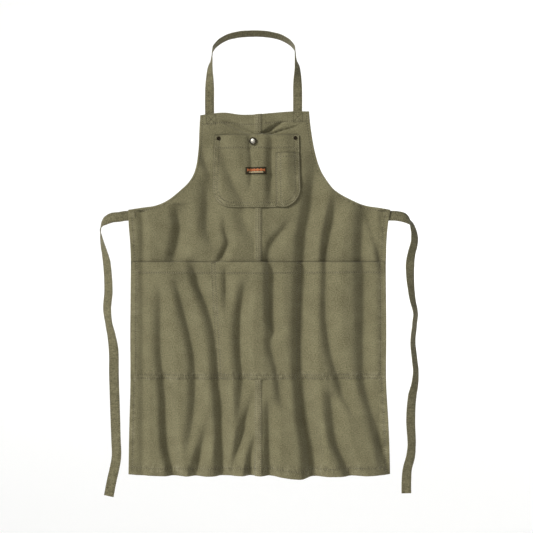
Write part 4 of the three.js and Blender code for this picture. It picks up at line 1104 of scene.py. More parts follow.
@dataclass
class Body:
    """The two panels of the bib and skirt, joined by a felled seam down the middle.

    Attributes:
        stitch_in: how far the stitches lie from a hem's inner edge
        wing_columns: columns between the side hem and the bib
        bib_columns: columns between the bib's hem and the seam
        lap_columns: columns across the seam
        bib_rows: rows of the bib beside the armhole
        chest_rows: rows from the armhole to the waist pocket
        hidden_rows: rows behind the waist pocket
        skirt_rows: rows below the waist pocket
    """

    canvas: bpy.types.Material
    thread: bpy.types.Material
    pocket_top: float = 352
    pocket_length: float = 277
    stitch_in: float = 2.4
    wing_columns: int = 54
    bib_columns: int = 56
    lap_columns: int = 8
    bib_rows: int = 52
    chest_rows: int = 60
    hidden_rows: int = 74
    skirt_rows: int = 80
    seam_rows: tuple = (3.4, 9.6, 14.2)
    rows: list = field(default_factory=list)

    def __post_init__(self) -> None:
        """Lists the rows of stitches that show on the front of the cloth."""
        d = DRAPE
        low, high = d.hem_z + 4, d.bib_top_z - 4
        for number, offset in enumerate(self.seam_rows):
            place = d.lap_start_x + offset - 1.5
            self.rows.append(SeamRow(True, low, high, lambda z, at=place: at + 0.6 * noise(z / 90, 0, 2),
                                     pucker=0.28, reach=4.5, pitch=6.5, seed=11 + number))
        for side in Side:
            sign = side.value
            inset = d.side_hem - self.stitch_in
            self.rows.append(SeamRow(
                True, low, d.bib_top_z - d.armhole_drop - 4,
                lambda z, s=side, i=inset: d.side_x(s, z) - s.value * i,
                pucker=0.8, reach=7.0, pitch=8.0, seed=21 + sign))
            inset = d.bib_hem - self.stitch_in
            self.rows.append(SeamRow(
                True, d.joint_z, d.bib_top_z - 2,
                lambda z, s=side, i=inset: d.armhole_x(s, z) - s.value * i,
                pucker=0.3, reach=5.0, pitch=7.0, seed=31 + sign))
            ends = sorted((d.joint_x(side), d.corner_x(side) - sign * 5))
            self.rows.append(SeamRow(
                False, ends[0], ends[1],
                lambda x, s=side: d.armhole_z(s, x) - (d.bib_hem - self.stitch_in),
                pucker=0.35, reach=5.0, pitch=7.0, seed=41 + sign))
        edges = [d.bib_edge(side) - side.value * 4 for side in Side]
        self.rows.append(SeamRow(
            False, edges[0], edges[1], lambda x: d.top_z(x) - d.top_hem + self.stitch_in,
            pucker=0.35, reach=7.0, pitch=9.0, seed=51))
        self.rows.append(SeamRow(
            False, float(d.body_x(-1.0)), float(d.body_x(1.0)),
            lambda x: d.foot_z(x) + d.bottom_hem - self.stitch_in,
            pucker=0.95, reach=10.0, pitch=8.5, seed=61))

    def place(self, side: Side, column: Array, row: Array) -> tuple[Array, Array, Array]:
        """Places of the panel's grid.

        Args:
            side: which panel
            column: 0 to 1 across the side hem, 1 to 2 to the bib, 2 to 3 across the bib's hem,
                3 to 4 to the seam, 4 to 5 across the seam
            row: 0 to 2 down the bib to the armhole's foot, 2 to 4 from the armhole's edge to the
                waist pocket, 4 to 5 behind it, 5 to 6 down the skirt, 6 to 7 down the bottom hem

        Returns:
            x, z and the distance to the nearest outer edge.
        """
        d = DRAPE
        sign = side.value
        mouth = d.bib_top_z - self.pocket_top
        foot = mouth - self.pocket_length
        inner = d.lap_start_x - d.hem_step if side is Side.LEFT else d.seam_edge_x
        seam_end = d.seam_edge_x if side is Side.LEFT else d.lap_start_x + 2
        wing = column < 2

        def level(x: Array, top: Array) -> Array:
            """Height of a row at a place across."""
            hem_top = np.where(row < 2, d.top_z(x), top)
            hem = np.where(row < 2, d.top_hem, d.bib_hem)
            part = np.where(row < 2, row, row - 2)
            end = np.where(row < 2, d.joint_z, mouth)
            upper = hem_top - hem * np.minimum(part, 1) + (end - hem_top + hem) * np.maximum(0, part - 1)
            bottom = d.foot_z(x)
            lower = np.where(row < 5, lerp(mouth, foot, row - 4),
                             np.where(row < 6, lerp(foot, bottom + d.bottom_hem, row - 5),
                                      bottom + d.bottom_hem * (7 - row)))
            return np.where(row < 4, upper, lower)

        corner_level = level(np.full_like(column, d.corner_x(side)), d.armhole_z(side, d.corner_x(side)))
        outer = d.side_x(side, np.where(row >= 2, corner_level, d.joint_z))
        wing_x = np.where(column < 1, outer - sign * d.side_hem * column,
                          lerp(outer - sign * d.side_hem, d.joint_x(side), column - 1))
        wing_z = level(wing_x, d.armhole_z(side, wing_x))
        guess = level(np.full_like(column, d.bib_edge(side)), d.joint_z)
        bib_outer = np.where(row < 2, d.armhole_x(side, guess), d.joint_x(side))
        hemmed = bib_outer - sign * d.bib_hem
        bib_x = np.where(column < 3, bib_outer - sign * d.bib_hem * (column - 2),
                         np.where(column < 4, lerp(hemmed, inner, column - 3),
                                  lerp(inner, seam_end, column - 4)))
        bib_z = level(bib_x, np.full_like(column, d.joint_z))
        x, z = np.where(wing, wing_x, bib_x), np.where(wing, wing_z, bib_z)
        far = 99.0
        edge = np.where(wing, np.minimum(np.where(column < 1, d.side_hem * column, far),
                                         np.where(row < 3, d.bib_hem * (row - 2), far)),
                        np.where(row < 2, np.minimum(d.bib_hem * (column - 2), d.top_hem * row), far))
        edge = np.minimum(edge, np.where(row > 6, d.bottom_hem * (7 - row), far))
        return x, z, edge

    def hem_share(self, column: Array, row: Array) -> Array:
        """Where the cloth is turned double behind, from 0 to 1."""
        d = DRAPE

        def band(distance: Array, hem: float) -> Array:
            """One hem's share at a distance from its edge."""
            return ease((hem - distance) / d.hem_step)

        wing = column < 2
        sides = np.where(wing, band(d.side_hem * column, d.side_hem),
                         np.where(row < 2, band(d.bib_hem * (column - 2), d.bib_hem), 0))
        tops = np.where(row < 2, band(d.top_hem * row, d.top_hem), 0)
        arms = np.where(wing & (row >= 2), band(d.bib_hem * (row - 2), d.bib_hem), 0)
        foot = np.where(row > 6, band(d.bottom_hem * (7 - row), d.bottom_hem), 0)
        return np.maximum.reduce([sides, tops, arms, foot])

    def panel(self, side: Side) -> bpy.types.Object:
        """Builds one panel."""
        d = DRAPE
        columns = chain(hem_stations(5), 1 + shares(self.wing_columns), 2 + hem_stations(4),
                        3 + shares(self.bib_columns), 4 + shares(self.lap_columns))
        rows = chain(hem_stations(9), 1 + shares(self.bib_rows), 2 + hem_stations(4),
                     3 + shares(self.chest_rows), 4 + shares(self.hidden_rows),
                     5 + shares(self.skirt_rows), 7 - hem_stations(8)[::-1])
        name = "body_left_cloth" if side is Side.LEFT else "body_right_cloth"
        slab = Slab(name, columns, rows, lambda column, row: (row > 2) | (column > 2))
        column, row, front = slab.columns, slab.rows, slab.front
        x, z, edge = self.place(side, column, row)
        relief = total_relief(self.rows + waist_rows(), x, z)
        hem = self.hem_share(column, row)
        middle = -d.cloth / 2 * hem
        half = d.cloth / 2 * (1 + hem) * rounded(edge, 2.2)
        offset = middle + np.where(front, half, -half)
        if side is Side.LEFT:
            lap = ease((x - d.lap_start_x + d.hem_step) / d.hem_step)
            edge_round = rounded(d.seam_edge_x - x, 5.0)
            pressed = 0.75 * (1 - ease((d.seam_edge_x - x) / 5))
            lap_middle, lap_half = (d.lap_back + d.lap_front) / 2 - pressed, (d.lap_front - d.lap_back) / 2
            lapped = lap_middle + np.where(front, 1, -1) * lap_half * edge_round
            offset = lerp(offset, lapped, lap)
        points = d.point(x, z, offset + relief)
        marks = seam_marks(self.rows + waist_rows(), x, z)
        # Painted shade in the gaps along the pockets, on the front only.
        marks["tone"] = edge_tone(relief - wrinkles(x, z), edge) - self.gap_shade(x, z) * front
        if side is Side.LEFT:
            # Painted light: the lap is drawn paler to lift the shade that its edge and puckers leave.
            marks["tone"] = marks["tone"] + 0.3 * lap
        return slab.finish(points, np.stack([x, z], axis=-1), marks)

    def gap_shade(self, x: Array, z: Array) -> Array:
        """Painted shade: dark lines along the mouths of both pockets and round the chest pocket, where the gaps and
        edges lie in shade.
        """
        waist = z - (DRAPE.bib_top_z - self.pocket_top)
        chest = z - (DRAPE.bib_top_z - ChestPocket.top)
        beside = np.abs(x - ChestPocket.middle_x) < ChestPocket.width * 0.48
        distance = ChestPocket(self.canvas, self.thread).edge_distance(x, z)
        return (1.2 * ease(1 - waist / 4) * (waist > -6)
                + 1.2 * ease(1 - chest / 4) * (chest > -6) * beside
                + 1.0 * ease(1 + distance / 3.5) * (chest < 0))

    def build(self) -> list[bpy.types.Object]:
        """Builds both panels and their thread."""
        pieces = []
        for side, node in ((Side.LEFT, "body_left_panel"), (Side.RIGHT, "body_right_panel")):
            piece = self.panel(side)
            dress(piece, self.canvas, "canvas", node)
            pieces.append(piece)
        thread = Thread("stitches_body", width=1.5)
        for corners in BODY_TACKS:
            path = through(*corners)
            x, z = path[:, 0], path[:, 1]
            front = DRAPE.cloth / 2 + total_relief(self.rows + waist_rows(), x, z)
            thread.sew(DRAPE.point(x, z, front), DRAPE.normal(x, z))
        piece = thread.build()
        dress(piece, self.thread, "canvas")
        return pieces + [piece]


@dataclass
class WaistPocket:
    """The wide pocket across the skirt, sewn down in three compartments."""

    canvas: bpy.types.Material
    thread: bpy.types.Material
    top: float = 352
    length: float = 277
    hem: float = 28
    inset: float = 4
    gape: float = 13
    columns: int = 232
    body_rows: int = 96

    @property
    def mouth_z(self) -> float:
        """Height of the mouth."""
        return DRAPE.bib_top_z - self.top

    def rise(self, x: Array, z: Array) -> Array:
        """How far the mouth of each compartment stands forward."""
        down = np.clip((self.mouth_z - z) / self.length, 0, 1)
        across = DRAPE.across(x)
        lines = [lerp(mouth, foot, down) for mouth, foot in DIVIDERS]
        full = np.zeros_like(across)
        for left, right in zip(lines[:-1], lines[1:]):
            share = (across - left) / (right - left)
            full = np.where((share >= 0) & (share <= 1), np.sin(math.pi * np.clip(share, 0, 1)) ** 2, full)
        return self.gape * full * (1 - down) ** 1.3

    def build(self) -> list[bpy.types.Object]:
        """Builds the pocket and its thread."""
        d = DRAPE
        edge_columns = np.array([0, 0.0006, 0.0018, 0.004])
        columns = np.concatenate([edge_columns, np.linspace(0.004, 0.996, self.columns)[1:-1],
                                  1 - edge_columns[::-1]])
        rows = chain(hem_stations(11), 1 + shares(self.body_rows), 3 - hem_stations(1)[::-1] * 0.999)
        rows = np.unique(np.where(rows > 2, 2, rows))
        slab = Slab("waist_pocket_cloth", columns, rows)
        share, row, front = slab.columns, slab.rows, slab.front
        z = np.where(row < 1, self.mouth_z - self.hem * row,
                     lerp(self.mouth_z - self.hem, self.mouth_z - self.length, row - 1))
        left = d.side_x(Side.LEFT, z) + self.inset
        right = d.side_x(Side.RIGHT, z) - self.inset
        x = lerp(left, right, share)
        turned = ease((self.hem * (1 - row)) / d.hem_step)
        edge = np.minimum(self.hem * row, np.minimum(x - left, right - x))
        over_lap = d.on_lap(x) * (d.lap_front - d.cloth / 2)
        back = d.cloth / 2 + d.seat + over_lap
        sewn = ease(np.minimum(np.minimum(x - left, right - x) / 7, (z - self.mouth_z + self.length) / 16))
        half = d.cloth / 2 * (1 + turned) * rounded(edge, 2.0) * lerp(0.4, 1, sewn)
        sunk = (1 - sewn) * (d.seat + d.cloth * 0.6)
        offset = back + d.cloth / 2 - sunk + np.where(front, half, -half) + turned * d.cloth / 2
        relief = total_relief(self.own_rows(), x, z)
        points = d.point(x, z, offset + relief, self.rise(x, z))
        marks = seam_marks(self.own_rows(), x, z)
        # Painted shade: a dark line along the mouth's edge.
        marks["tone"] = edge_tone(relief - wrinkles(x, z), edge) - 0.9 * ease(1 - (self.mouth_z - z) / 2)
        piece = slab.finish(points, np.stack([x, z], axis=-1), marks)
        dress(piece, self.canvas, "canvas", "waist_pocket")
        thread = Thread("stitches_waist_pocket", width=1.3)
        for at_mouth, _ in DIVIDERS[1:3]:
            middle = float(d.body_x(at_mouth))
            path = through((middle - 4, self.mouth_z - 2), (middle + 4, self.mouth_z - 2),
                           (middle + 4, self.mouth_z - 3.5), (middle - 4, self.mouth_z - 3.5))
            x, z = path[:, 0], path[:, 1]
            level = d.cloth * 2.5 + d.seat + total_relief(self.own_rows(), x, z)
            thread.sew(d.point(x, z, level, self.rise(x, z)), d.normal(x, z))
        stitches = thread.build()
        dress(stitches, self.thread, "canvas")
        return [piece, stitches]

    def own_rows(self) -> list[SeamRow]:
        """Rows of stitches on the pocket: those of the body beneath it, and its mouth's hem."""
        d = DRAPE
        low, high = float(d.body_x(-0.97)), float(d.body_x(0.97))
        hem = SeamRow(False, low, high, lambda x: self.mouth_z - self.hem + 2.4 + 1.5 * noise(x / 120, 0, 6),
                      pucker=0.16, reach=6.0, pitch=10.0, seed=71)
        return waist_rows() + [hem]


def waist_rows() -> list[SeamRow]:
    """Rows that sew the waist pocket through the body: its foot, its dividers and its sides."""
    d = DRAPE
    mouth = d.bib_top_z - WaistPocket.top
    foot = mouth - WaistPocket.length
    low, high = float(d.body_x(-0.985)), float(d.body_x(0.985))
    rows = [
        SeamRow(False, low, high, lambda x, lift=lift: foot + lift + 0.8 * noise(x / 70, 0, 8),
                pucker=0.72, reach=7.0, pitch=7.0, seed=81 + lift)
        for lift in (3.0, 10.0)
    ]
    for number, (at_mouth, at_foot) in enumerate(DIVIDERS[1:3]):
        for gap in (0.0, 7.5):
            rows.append(SeamRow(
                True, foot, mouth,
                lambda z, a=at_mouth, b=at_foot, g=gap: d.body_x(
                    lerp(a, b, np.clip((mouth - z) / WaistPocket.length, 0, 1))) + g - 3.7,
                pucker=0.4 - 0.15 * number, reach=5.0, pitch=9.0, seed=91 + number))
    for side in Side:
        rows.append(SeamRow(
            True, foot, mouth, lambda z, s=side: d.side_x(s, z) - s.value * 13.5,
            pucker=0.6, reach=6.0, pitch=8.0, seed=96 + side.value))
    return rows


@dataclass
class ChestPocket:
    """The chest pocket with the pencil pocket on its right side."""

    canvas: bpy.types.Material
    thread: bpy.types.Material
    top: float = 53
    length: float = 171
    width: float = 206
    middle_x: float = -0.5
    hem: float = 33
    corner: float = 46
    gape: float = 11
    narrow: float = 0.96
    button_x: float = -7
    pencil_width: float = 56
    pencil_top: float = 43
    pencil_gape: float = 8
    pencil_inset: float = 1.5
    columns: int = 92
    rows: int = 62

    @property
    def mouth_z(self) -> float:
        """Height of the mouth."""
        return DRAPE.bib_top_z - self.top

    def half_width(self, drop: Array, inset: float = 0.0) -> Array:
        """Half the pocket's width at a depth below its mouth, for a line drawn in from its edge."""
        straight_end = self.length - self.corner
        round_part = np.maximum(0, drop - straight_end)
        flare = self.narrow + (1 - self.narrow) * np.minimum(1, drop / straight_end)
        radius = self.corner - inset
        arc = np.sqrt(np.maximum(0, radius**2 - np.minimum(round_part, radius) ** 2))
        return self.width / 2 * flare - self.corner + arc

    def rise(self, x: Array, drop: Array) -> Array:
        """How far the pocket stands off the bib, in a lobe on each side of the button."""
        left, right = self.middle_x - self.half_width(0.0), self.middle_x + self.half_width(0.0)
        share = np.where(x < self.button_x, (x - left) / (self.button_x - left),
                         (x - self.button_x) / (right - self.button_x))
        lobe = np.sin(math.pi * np.clip(share, 0, 1)) ** 2 * np.where(x < self.button_x, 0.7, 1.0)
        return self.gape * lobe * np.maximum(0, 1 - drop / self.length) ** 1.2

    def seat(self, x: Array, z: Array) -> Array:
        """Back of the pocket's outer layer where it lies flat."""
        d = DRAPE
        drop = self.mouth_z - z
        turned = 1 - ease((drop - self.hem + d.hem_step) / d.hem_step)
        return d.cloth / 2 + d.patch_seat + d.cloth * turned + d.on_lap(x) * (d.lap_front - d.cloth / 2)

    def surface(self, x: Array, z: Array, front: Array, lift: Array = 0.0) -> Array:
        """Points in front of the back of the pocket's outer layer."""
        drop = np.clip(self.mouth_z - z, 0, self.length)
        return DRAPE.point(x, z, self.seat(x, z) + front, self.rise(x, drop) + lift)

    def outline(self, inset: float, start: float = 0.0) -> Array:
        """The seam line round the pocket from its left side by the foot to its right side.

        Args:
            inset: distance in from the edge
            start: depth below the mouth at which it begins

        Returns:
            Rows of x and z.
        """
        straight_end = self.length - self.corner
        radius = self.corner - inset
        drops = np.arange(start, straight_end, 1.0)
        angles = np.linspace(0, math.pi / 2, 40)
        drops = np.concatenate([drops, straight_end + radius * np.sin(angles)])
        flare = self.narrow + (1 - self.narrow) * np.minimum(1, drops / straight_end)
        round_part = np.maximum(0, drops - straight_end)
        half = self.width / 2 * flare - self.corner + np.sqrt(np.maximum(0, radius**2 - round_part**2))
        left = np.stack([self.middle_x - half, self.mouth_z - drops], axis=-1)
        right = np.stack([self.middle_x + half, self.mouth_z - drops], axis=-1)[::-1]
        count = int(2 * half[-1])
        foot_x = np.linspace(left[-1, 0], right[0, 0], count)[1:-1]
        foot = np.stack([foot_x, np.full(len(foot_x), left[-1, 1])], axis=-1)
        return np.concatenate([left, foot, right])

    def edge_distance(self, x: Array, z: Array) -> Array:
        """Distance in from the sewn outline."""
        drop = self.mouth_z - z
        straight_end = self.length - self.corner
        flare = self.narrow + (1 - self.narrow) * np.minimum(1, np.maximum(0, drop) / straight_end)
        side = np.abs(x - self.middle_x) - (self.width / 2 * flare - self.corner)
        below = drop - straight_end
        outside = np.hypot(np.maximum(side, 0), np.maximum(below, 0)) + np.minimum(0, np.maximum(side, below))
        return self.corner - outside

    def relief(self, x: Array, z: Array) -> Array:
        """Wrinkles, puckers along the outline, and a lift of the loose edge on the right."""
        distance = self.edge_distance(x, z)
        angle = np.arctan2(x - self.middle_x, z - self.mouth_z + self.length * 0.35) * 95
        ripple = noise(angle / 7.5, distance / 22, 5.0) + 0.4 * noise(angle / 4, distance / 12, 6.0)
        depth = 0.55 + 0.3 * ease((x - 10) / 40)
        height = wrinkles(x, z) + depth * ripple * np.exp(-((distance - 6) / 9) ** 2)
        loose = ease((x - self.middle_x - 50) / 40)
        return height + 0.9 * loose * np.exp(-((distance / 4) ** 2))

    def marks(self, x: Array, z: Array, edge: Array) -> dict[str, Array]:
        """Tells the shader where the outline's two rows and the hem's row lie."""
        distance = self.edge_distance(x, z)
        outline = np.where(distance < 7.3, distance - 3.6, 11.0 - distance)
        hem = z - (self.mouth_z - self.hem + 2.4)
        fade = np.exp(-(((distance - 6) / 9) ** 2))
        return {
            "seam_up": outline,
            "seam_level": hem,
            "seam_reach": np.minimum(np.abs(outline), np.abs(hem)),
            "crinkle_up": 0.5 * fade,
            "crinkle_level": 0.3 * np.exp(-((hem / 7) ** 2)),
            # Painted shade: a dark line along the mouth's edge.
            "tone": edge_tone(self.relief(x, z) - wrinkles(x, z), edge) - 0.9 * ease(1 - (self.mouth_z - z) / 2),
        }

    def build(self) -> list[bpy.types.Object]:
        """Builds both pockets and their thread."""
        d = DRAPE
        across = chain(np.array([0, 0.003, 0.009, 0.02]), np.linspace(0.02, 0.98, self.columns),
                       1 - np.array([0, 0.003, 0.009, 0.02])[::-1])
        straight_end = self.length - self.corner
        drops = chain(self.hem * hem_stations(13), np.linspace(self.hem, straight_end, 44),
                      straight_end + self.corner * np.sin(shares(24) * math.pi / 2))
        slab = Slab("chest_pocket_cloth", across, drops)
        drop, front = slab.rows, slab.front
        z = self.mouth_z - drop
        x = self.middle_x + self.half_width(drop) * (2 * slab.columns - 1)
        turned = 1 - ease((drop - self.hem + d.hem_step) / d.hem_step)
        edge = np.minimum(self.edge_distance(x, z), np.where(drop < self.hem, drop, 99.0))
        half = d.cloth / 2 * (1 + turned) * rounded(edge, 2.2)
        level = d.cloth / 2 - turned * d.cloth / 2 + np.where(front, half, -half)
        relief = self.relief(x, z)
        points = self.surface(x, z, level + relief)
        marks = self.marks(x, z, edge)
        # Painted shade along the pencil pocket's mouth and left side, on the front only.
        marks["tone"] = marks["tone"] - self.gap_shade(x, z) * front
        pocket = slab.finish(points, np.stack([x, z], axis=-1), marks)
        dress(pocket, self.canvas, "canvas", "bib_pocket")
        pencil = self.pencil()
        dress(pencil, self.canvas, "canvas", "pencil_pocket")
        thread = Thread("stitches_chest_pocket", width=1.3)
        hole_x, hole_z = self.button_x - 6.3, self.mouth_z - 22
        slit = through((hole_x - 1.2, hole_z), (hole_x - 1.2, hole_z - 7), (hole_x + 1.2, hole_z - 7),
                       (hole_x + 1.2, hole_z), (hole_x - 1.2, hole_z))
        self.sew(thread, slit[:, 0], slit[:, 1], d.cloth)
        left = self.middle_x + self.width / 2 - self.pencil_width
        top = self.mouth_z - self.pencil_top
        for x in (left + 3, left + 42):
            tack = through((x, top - 1), (x, top - 12), (x + 1.4, top - 12), (x + 1.4, top - 1))
            self.sew(thread, tack[:, 0], tack[:, 1], 2 * d.cloth + d.patch_seat)
        stitches = thread.build()
        dress(stitches, self.thread, "canvas")
        return [pocket, pencil, stitches]

    def gap_shade(self, x: Array, z: Array) -> Array:
        """Painted shade: dark lines along the pencil pocket's mouth and its left side, where the gaps lie in shade."""
        beside = self.middle_x + self.width / 2 - self.pencil_width - x
        above = z - (self.mouth_z - self.pencil_top)
        return (1.3 * ease(1 - above / 4) * (above > -6) * (beside < 0)
                + 1.1 * ease(1 - beside / 3) * (beside > -6) * (above < 0))

    def sew(self, thread: Thread, x: Array, z: Array, front: float) -> None:
        """Sews a row on the pocket at a height above the back of its outer layer."""
        thread.sew(self.surface(x, z, front + self.relief(x, z)), DRAPE.normal(x, z))

    def pencil(self) -> bpy.types.Object:
        """Builds the narrow pocket."""
        d = DRAPE
        left = self.middle_x + self.width / 2 - self.pencil_width
        across = chain(np.array([0, 0.01, 0.03, 0.06]), np.linspace(0.06, 0.97, 26), np.array([0.97, 0.99, 1]))
        straight_end = self.length - self.corner
        depth = self.length - self.pencil_top
        drops = chain(self.pencil_top + 12 * hem_stations(5), np.linspace(self.pencil_top + 12, straight_end, 36),
                      straight_end + self.corner * np.sin(shares(20) * math.pi / 2))
        slab = Slab("pencil_pocket_cloth", across, drops)
        drop = np.minimum(slab.rows, self.length - self.pencil_inset)
        z = self.mouth_z - drop
        right = self.middle_x + self.half_width(drop) - self.pencil_inset
        x = lerp(left, right, slab.columns)
        edge = np.minimum(np.minimum(x - left, right - x), drop - self.pencil_top)
        half = d.cloth / 2 * rounded(edge, 2.0)
        lift = self.pencil_gape * np.sin(math.pi * slab.columns) ** 2 * (1 - (drop - self.pencil_top) / depth)
        rows = np.where(x < left + 7, x - left - 2.6, left + 11.5 - x)
        ripple = noise(z / 8, x / 20, 14.0) * 0.35 * np.exp(-(rows / 6) ** 2)
        level = d.cloth + d.patch_seat + d.cloth / 2 + np.where(slab.front, half, -half)
        points = self.surface(x, z, level + self.relief(x, z) + ripple, lift)
        marks = self.marks(x, z, edge)
        outline, hem = marks["seam_up"], z - (self.mouth_z - self.pencil_top - 9.4)
        marks["seam_up"] = rows
        marks["seam_level"] = np.where(np.abs(hem) < np.abs(outline), hem, outline)
        marks["seam_reach"] = np.minimum.reduce([np.abs(rows), np.abs(hem), np.abs(outline)])
        marks["crinkle_up"] = np.maximum(marks["crinkle_up"], 0.4 * np.exp(-((rows / 5) ** 2)))
        top = self.mouth_z - self.pencil_top
        # Painted shade: dark lines along the pencil pocket's mouth and its left edge.
        marks["tone"] = marks["tone"] - 0.9 * ease(1 - (top - z) / 2) - 0.7 * ease(1 - (x - left) / 1.8)
        return slab.finish(points, np.stack([x, z], axis=-1), marks)


@dataclass(frozen=True)
class RibbonPath:
    """A route of places and outward faces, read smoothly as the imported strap's is."""

    places: Array
    faces: Array

    def at(self, share: Array) -> tuple[Array, Array]:
        """Centre and outward face at shares of the route.

        Args:
            share: 0 to 1 along the route

        Returns:
            The centres and the faces.
        """
        places = self.places
        last = len(places) - 1
        first, end = 2 * places[0] - places[1], 2 * places[last] - places[last - 1]
        padded = np.concatenate([[first], places, [end]])
        position = np.clip(share * last, 0, last - 1e-9)
        start = position.astype(int)
        part = (position - start)[:, None]
        p0, p1, p2, p3 = (padded[start + k] for k in range(4))
        t0, t1, t2 = (np.sqrt(np.linalg.norm(b - a, axis=1, keepdims=True))
                      for a, b in ((p0, p1), (p1, p2), (p2, p3)))
        slope_in = ((p1 - p0) / t0 - (p2 - p0) / (t0 + t1) + (p2 - p1) / t1) * t1
        slope_out = ((p2 - p1) / t1 - (p3 - p1) / (t1 + t2) + (p3 - p2) / t2) * t1
        square, cube = part**2, part**3
        centre = (p1 * (2 * cube - 3 * square + 1) + p2 * (3 * square - 2 * cube)
                  + slope_in * (cube - 2 * square + part) + slope_out * (cube - square))
        face = lerp(self.faces[start], self.faces[start + 1], part)
        return centre, face


@dataclass
class Ribbon:
    """A flat strip of folded canvas with a row of stitches near each edge.

    Attributes:
        name: the piece's name
        path: its route
        width: the strip's width
        thickness: all its layers
        canvas: its finish
        node: the frame node that it stands for
        seed: picks its ripples
        stitch_in: how far the stitches lie from its edges
        step: length from one ring to the next
    """

    name: str
    path: RibbonPath
    width: float
    thickness: float
    canvas: bpy.types.Material
    node: str
    seed: float = 1.0
    stitch_in: float = 2.6
    step: float = 2.6

    def build(self) -> list[bpy.types.Object]:
        """Builds the strip."""
        fine = shares(2000)
        centre, _ = self.path.at(fine)
        lengths = np.concatenate([[0], np.cumsum(np.linalg.norm(np.diff(centre, axis=0), axis=1))])
        total = lengths[-1]
        ends = np.array([0, 0.4, 1.0, 2.0])
        run = np.concatenate([ends, np.arange(2 + self.step, total - 2 - self.step, self.step),
                              total - ends[::-1]])
        across = np.array([-1, -0.96, -0.88, -0.75, -0.6, -0.35, 0, 0.35, 0.6, 0.75, 0.88, 0.96, 1])
        slab = Slab(self.name, across, run)
        centre, side, out, share = self.frame_at(slab.rows, fine, lengths)
        edge = np.minimum((1 - np.abs(slab.columns)) * self.width / 2,
                          np.minimum(slab.rows, total - slab.rows))
        relief = self.relief(slab.columns, slab.rows)
        half = self.thickness / 2 * rounded(edge, 1.8)
        offset = relief + np.where(slab.front, half, -half)
        points = centre + side * (slab.columns * self.width / 2)[:, None] + out * offset[:, None]
        flat = np.stack([slab.columns * self.width / 2, slab.rows], axis=-1)
        gap = (1 - np.abs(slab.columns)) * self.width / 2 - self.stitch_in
        marks = {
            "seam_up": gap,
            "seam_level": np.full_like(gap, 99.0),
            "seam_reach": np.abs(gap),
            "crinkle_up": np.full_like(gap, 0.35),
            "crinkle_level": np.zeros_like(gap),
            "tone": edge_tone(relief, edge),
        }
        piece = slab.finish(points, flat, marks)
        dress(piece, self.canvas, "webbing", self.node)
        return [piece]

    def frame_at(self, run: Array, fine: Array, lengths: Array) -> tuple[Array, Array, Array, Array]:
        """Centre, sideways and outward directions at lengths along the strip."""
        share = np.interp(run, lengths, fine)
        step = 1e-4
        centre, face = self.path.at(share)
        ahead, _ = self.path.at(np.clip(share + step, 0, 1))
        behind, _ = self.path.at(np.clip(share - step, 0, 1))
        tangent = ahead - behind
        tangent /= np.linalg.norm(tangent, axis=1, keepdims=True)
        side = np.cross(tangent, face)
        side /= np.linalg.norm(side, axis=1, keepdims=True)
        return centre, side, np.cross(side, tangent), share

    def relief(self, across: Array, run: Array) -> Array:
        """Small and broad ripples along the strip."""
        return 0.28 * noise(run / 9, across * 1.2, self.seed) + 0.2 * noise(run / 30, across, self.seed + 2)


# One side of the neck strap from the bib to the back of the neck: across as a share of half the
# spread, back as a share of the neck depth, up as a share of the strap drop, the turn of its outer
# face from the front to the back in degrees, and the face's lean upwards
STRAP_ROUTE: Table = (
    (1.0, 0, 0.14, 0, 0),
    (0.998, 0, 0.28, 8, 0),
    (0.997, 0.01, 0.375, 26, 0),
    (0.998, 0.04, 0.47, 44, 0),
    (0.992, 0.09, 0.545, 55, 0),
    (0.972, 0.17, 0.62, 69, 0),
    (0.96, 0.29, 0.675, 80, 2),
    (0.952, 0.45, 0.73, 87, 5),
    (0.951, 0.62, 0.778, 93, 10),
    (0.915, 0.79, 0.832, 108, 30),
    (0.82, 0.90, 0.89, 130, 48),
    (0.63, 0.965, 0.95, 158, 58),
    (0.42, 0.99, 0.981, 171, 57),
    (0.2, 1, 0.996, 177, 55),
)

# The hanging ties: reach as a share of the tie's reach, fall as a share of its fall, sway as a
# share of its sway, and the turn of its face from the front to the outside in degrees
LEFT_TIE_ROUTE: Table = (
    (0.14, 0.001, 0, 0),
    (0.30, 0.004, 0, 4),
    (0.57, 0.007, 0.1, 28),
    (0.765, 0.015, 0.3, 58),
    (0.897, 0.024, 0.6, 78),
    (0.975, 0.037, 0.9, 85),
    (1, 0.051, 1, 86),
    (0.982, 0.074, 1, 74),
    (0.932, 0.099, 0.9, 63),
    (0.854, 0.128, 0.8, 52),
    (0.765, 0.17, 0.6, 34),
    (0.7, 0.267, 0.3, 26),
    (0.747, 0.331, 0.3, 30),
    (0.694, 0.384, 0.4, 40),
    (0.6, 0.427, 0.4, 28),
    (0.52, 0.48, 0.3, 8),
    (0.505, 0.57, 0.2, 5),
    (0.473, 0.676, 0.2, 6),
    (0.434, 0.8, 0.2, 12),
    (0.416, 0.858, 0.1, 12),
    (0.473, 0.897, 0, 10),
    (0.57, 0.94, 0, 8),
    (0.685, 1, 0, 6),
)
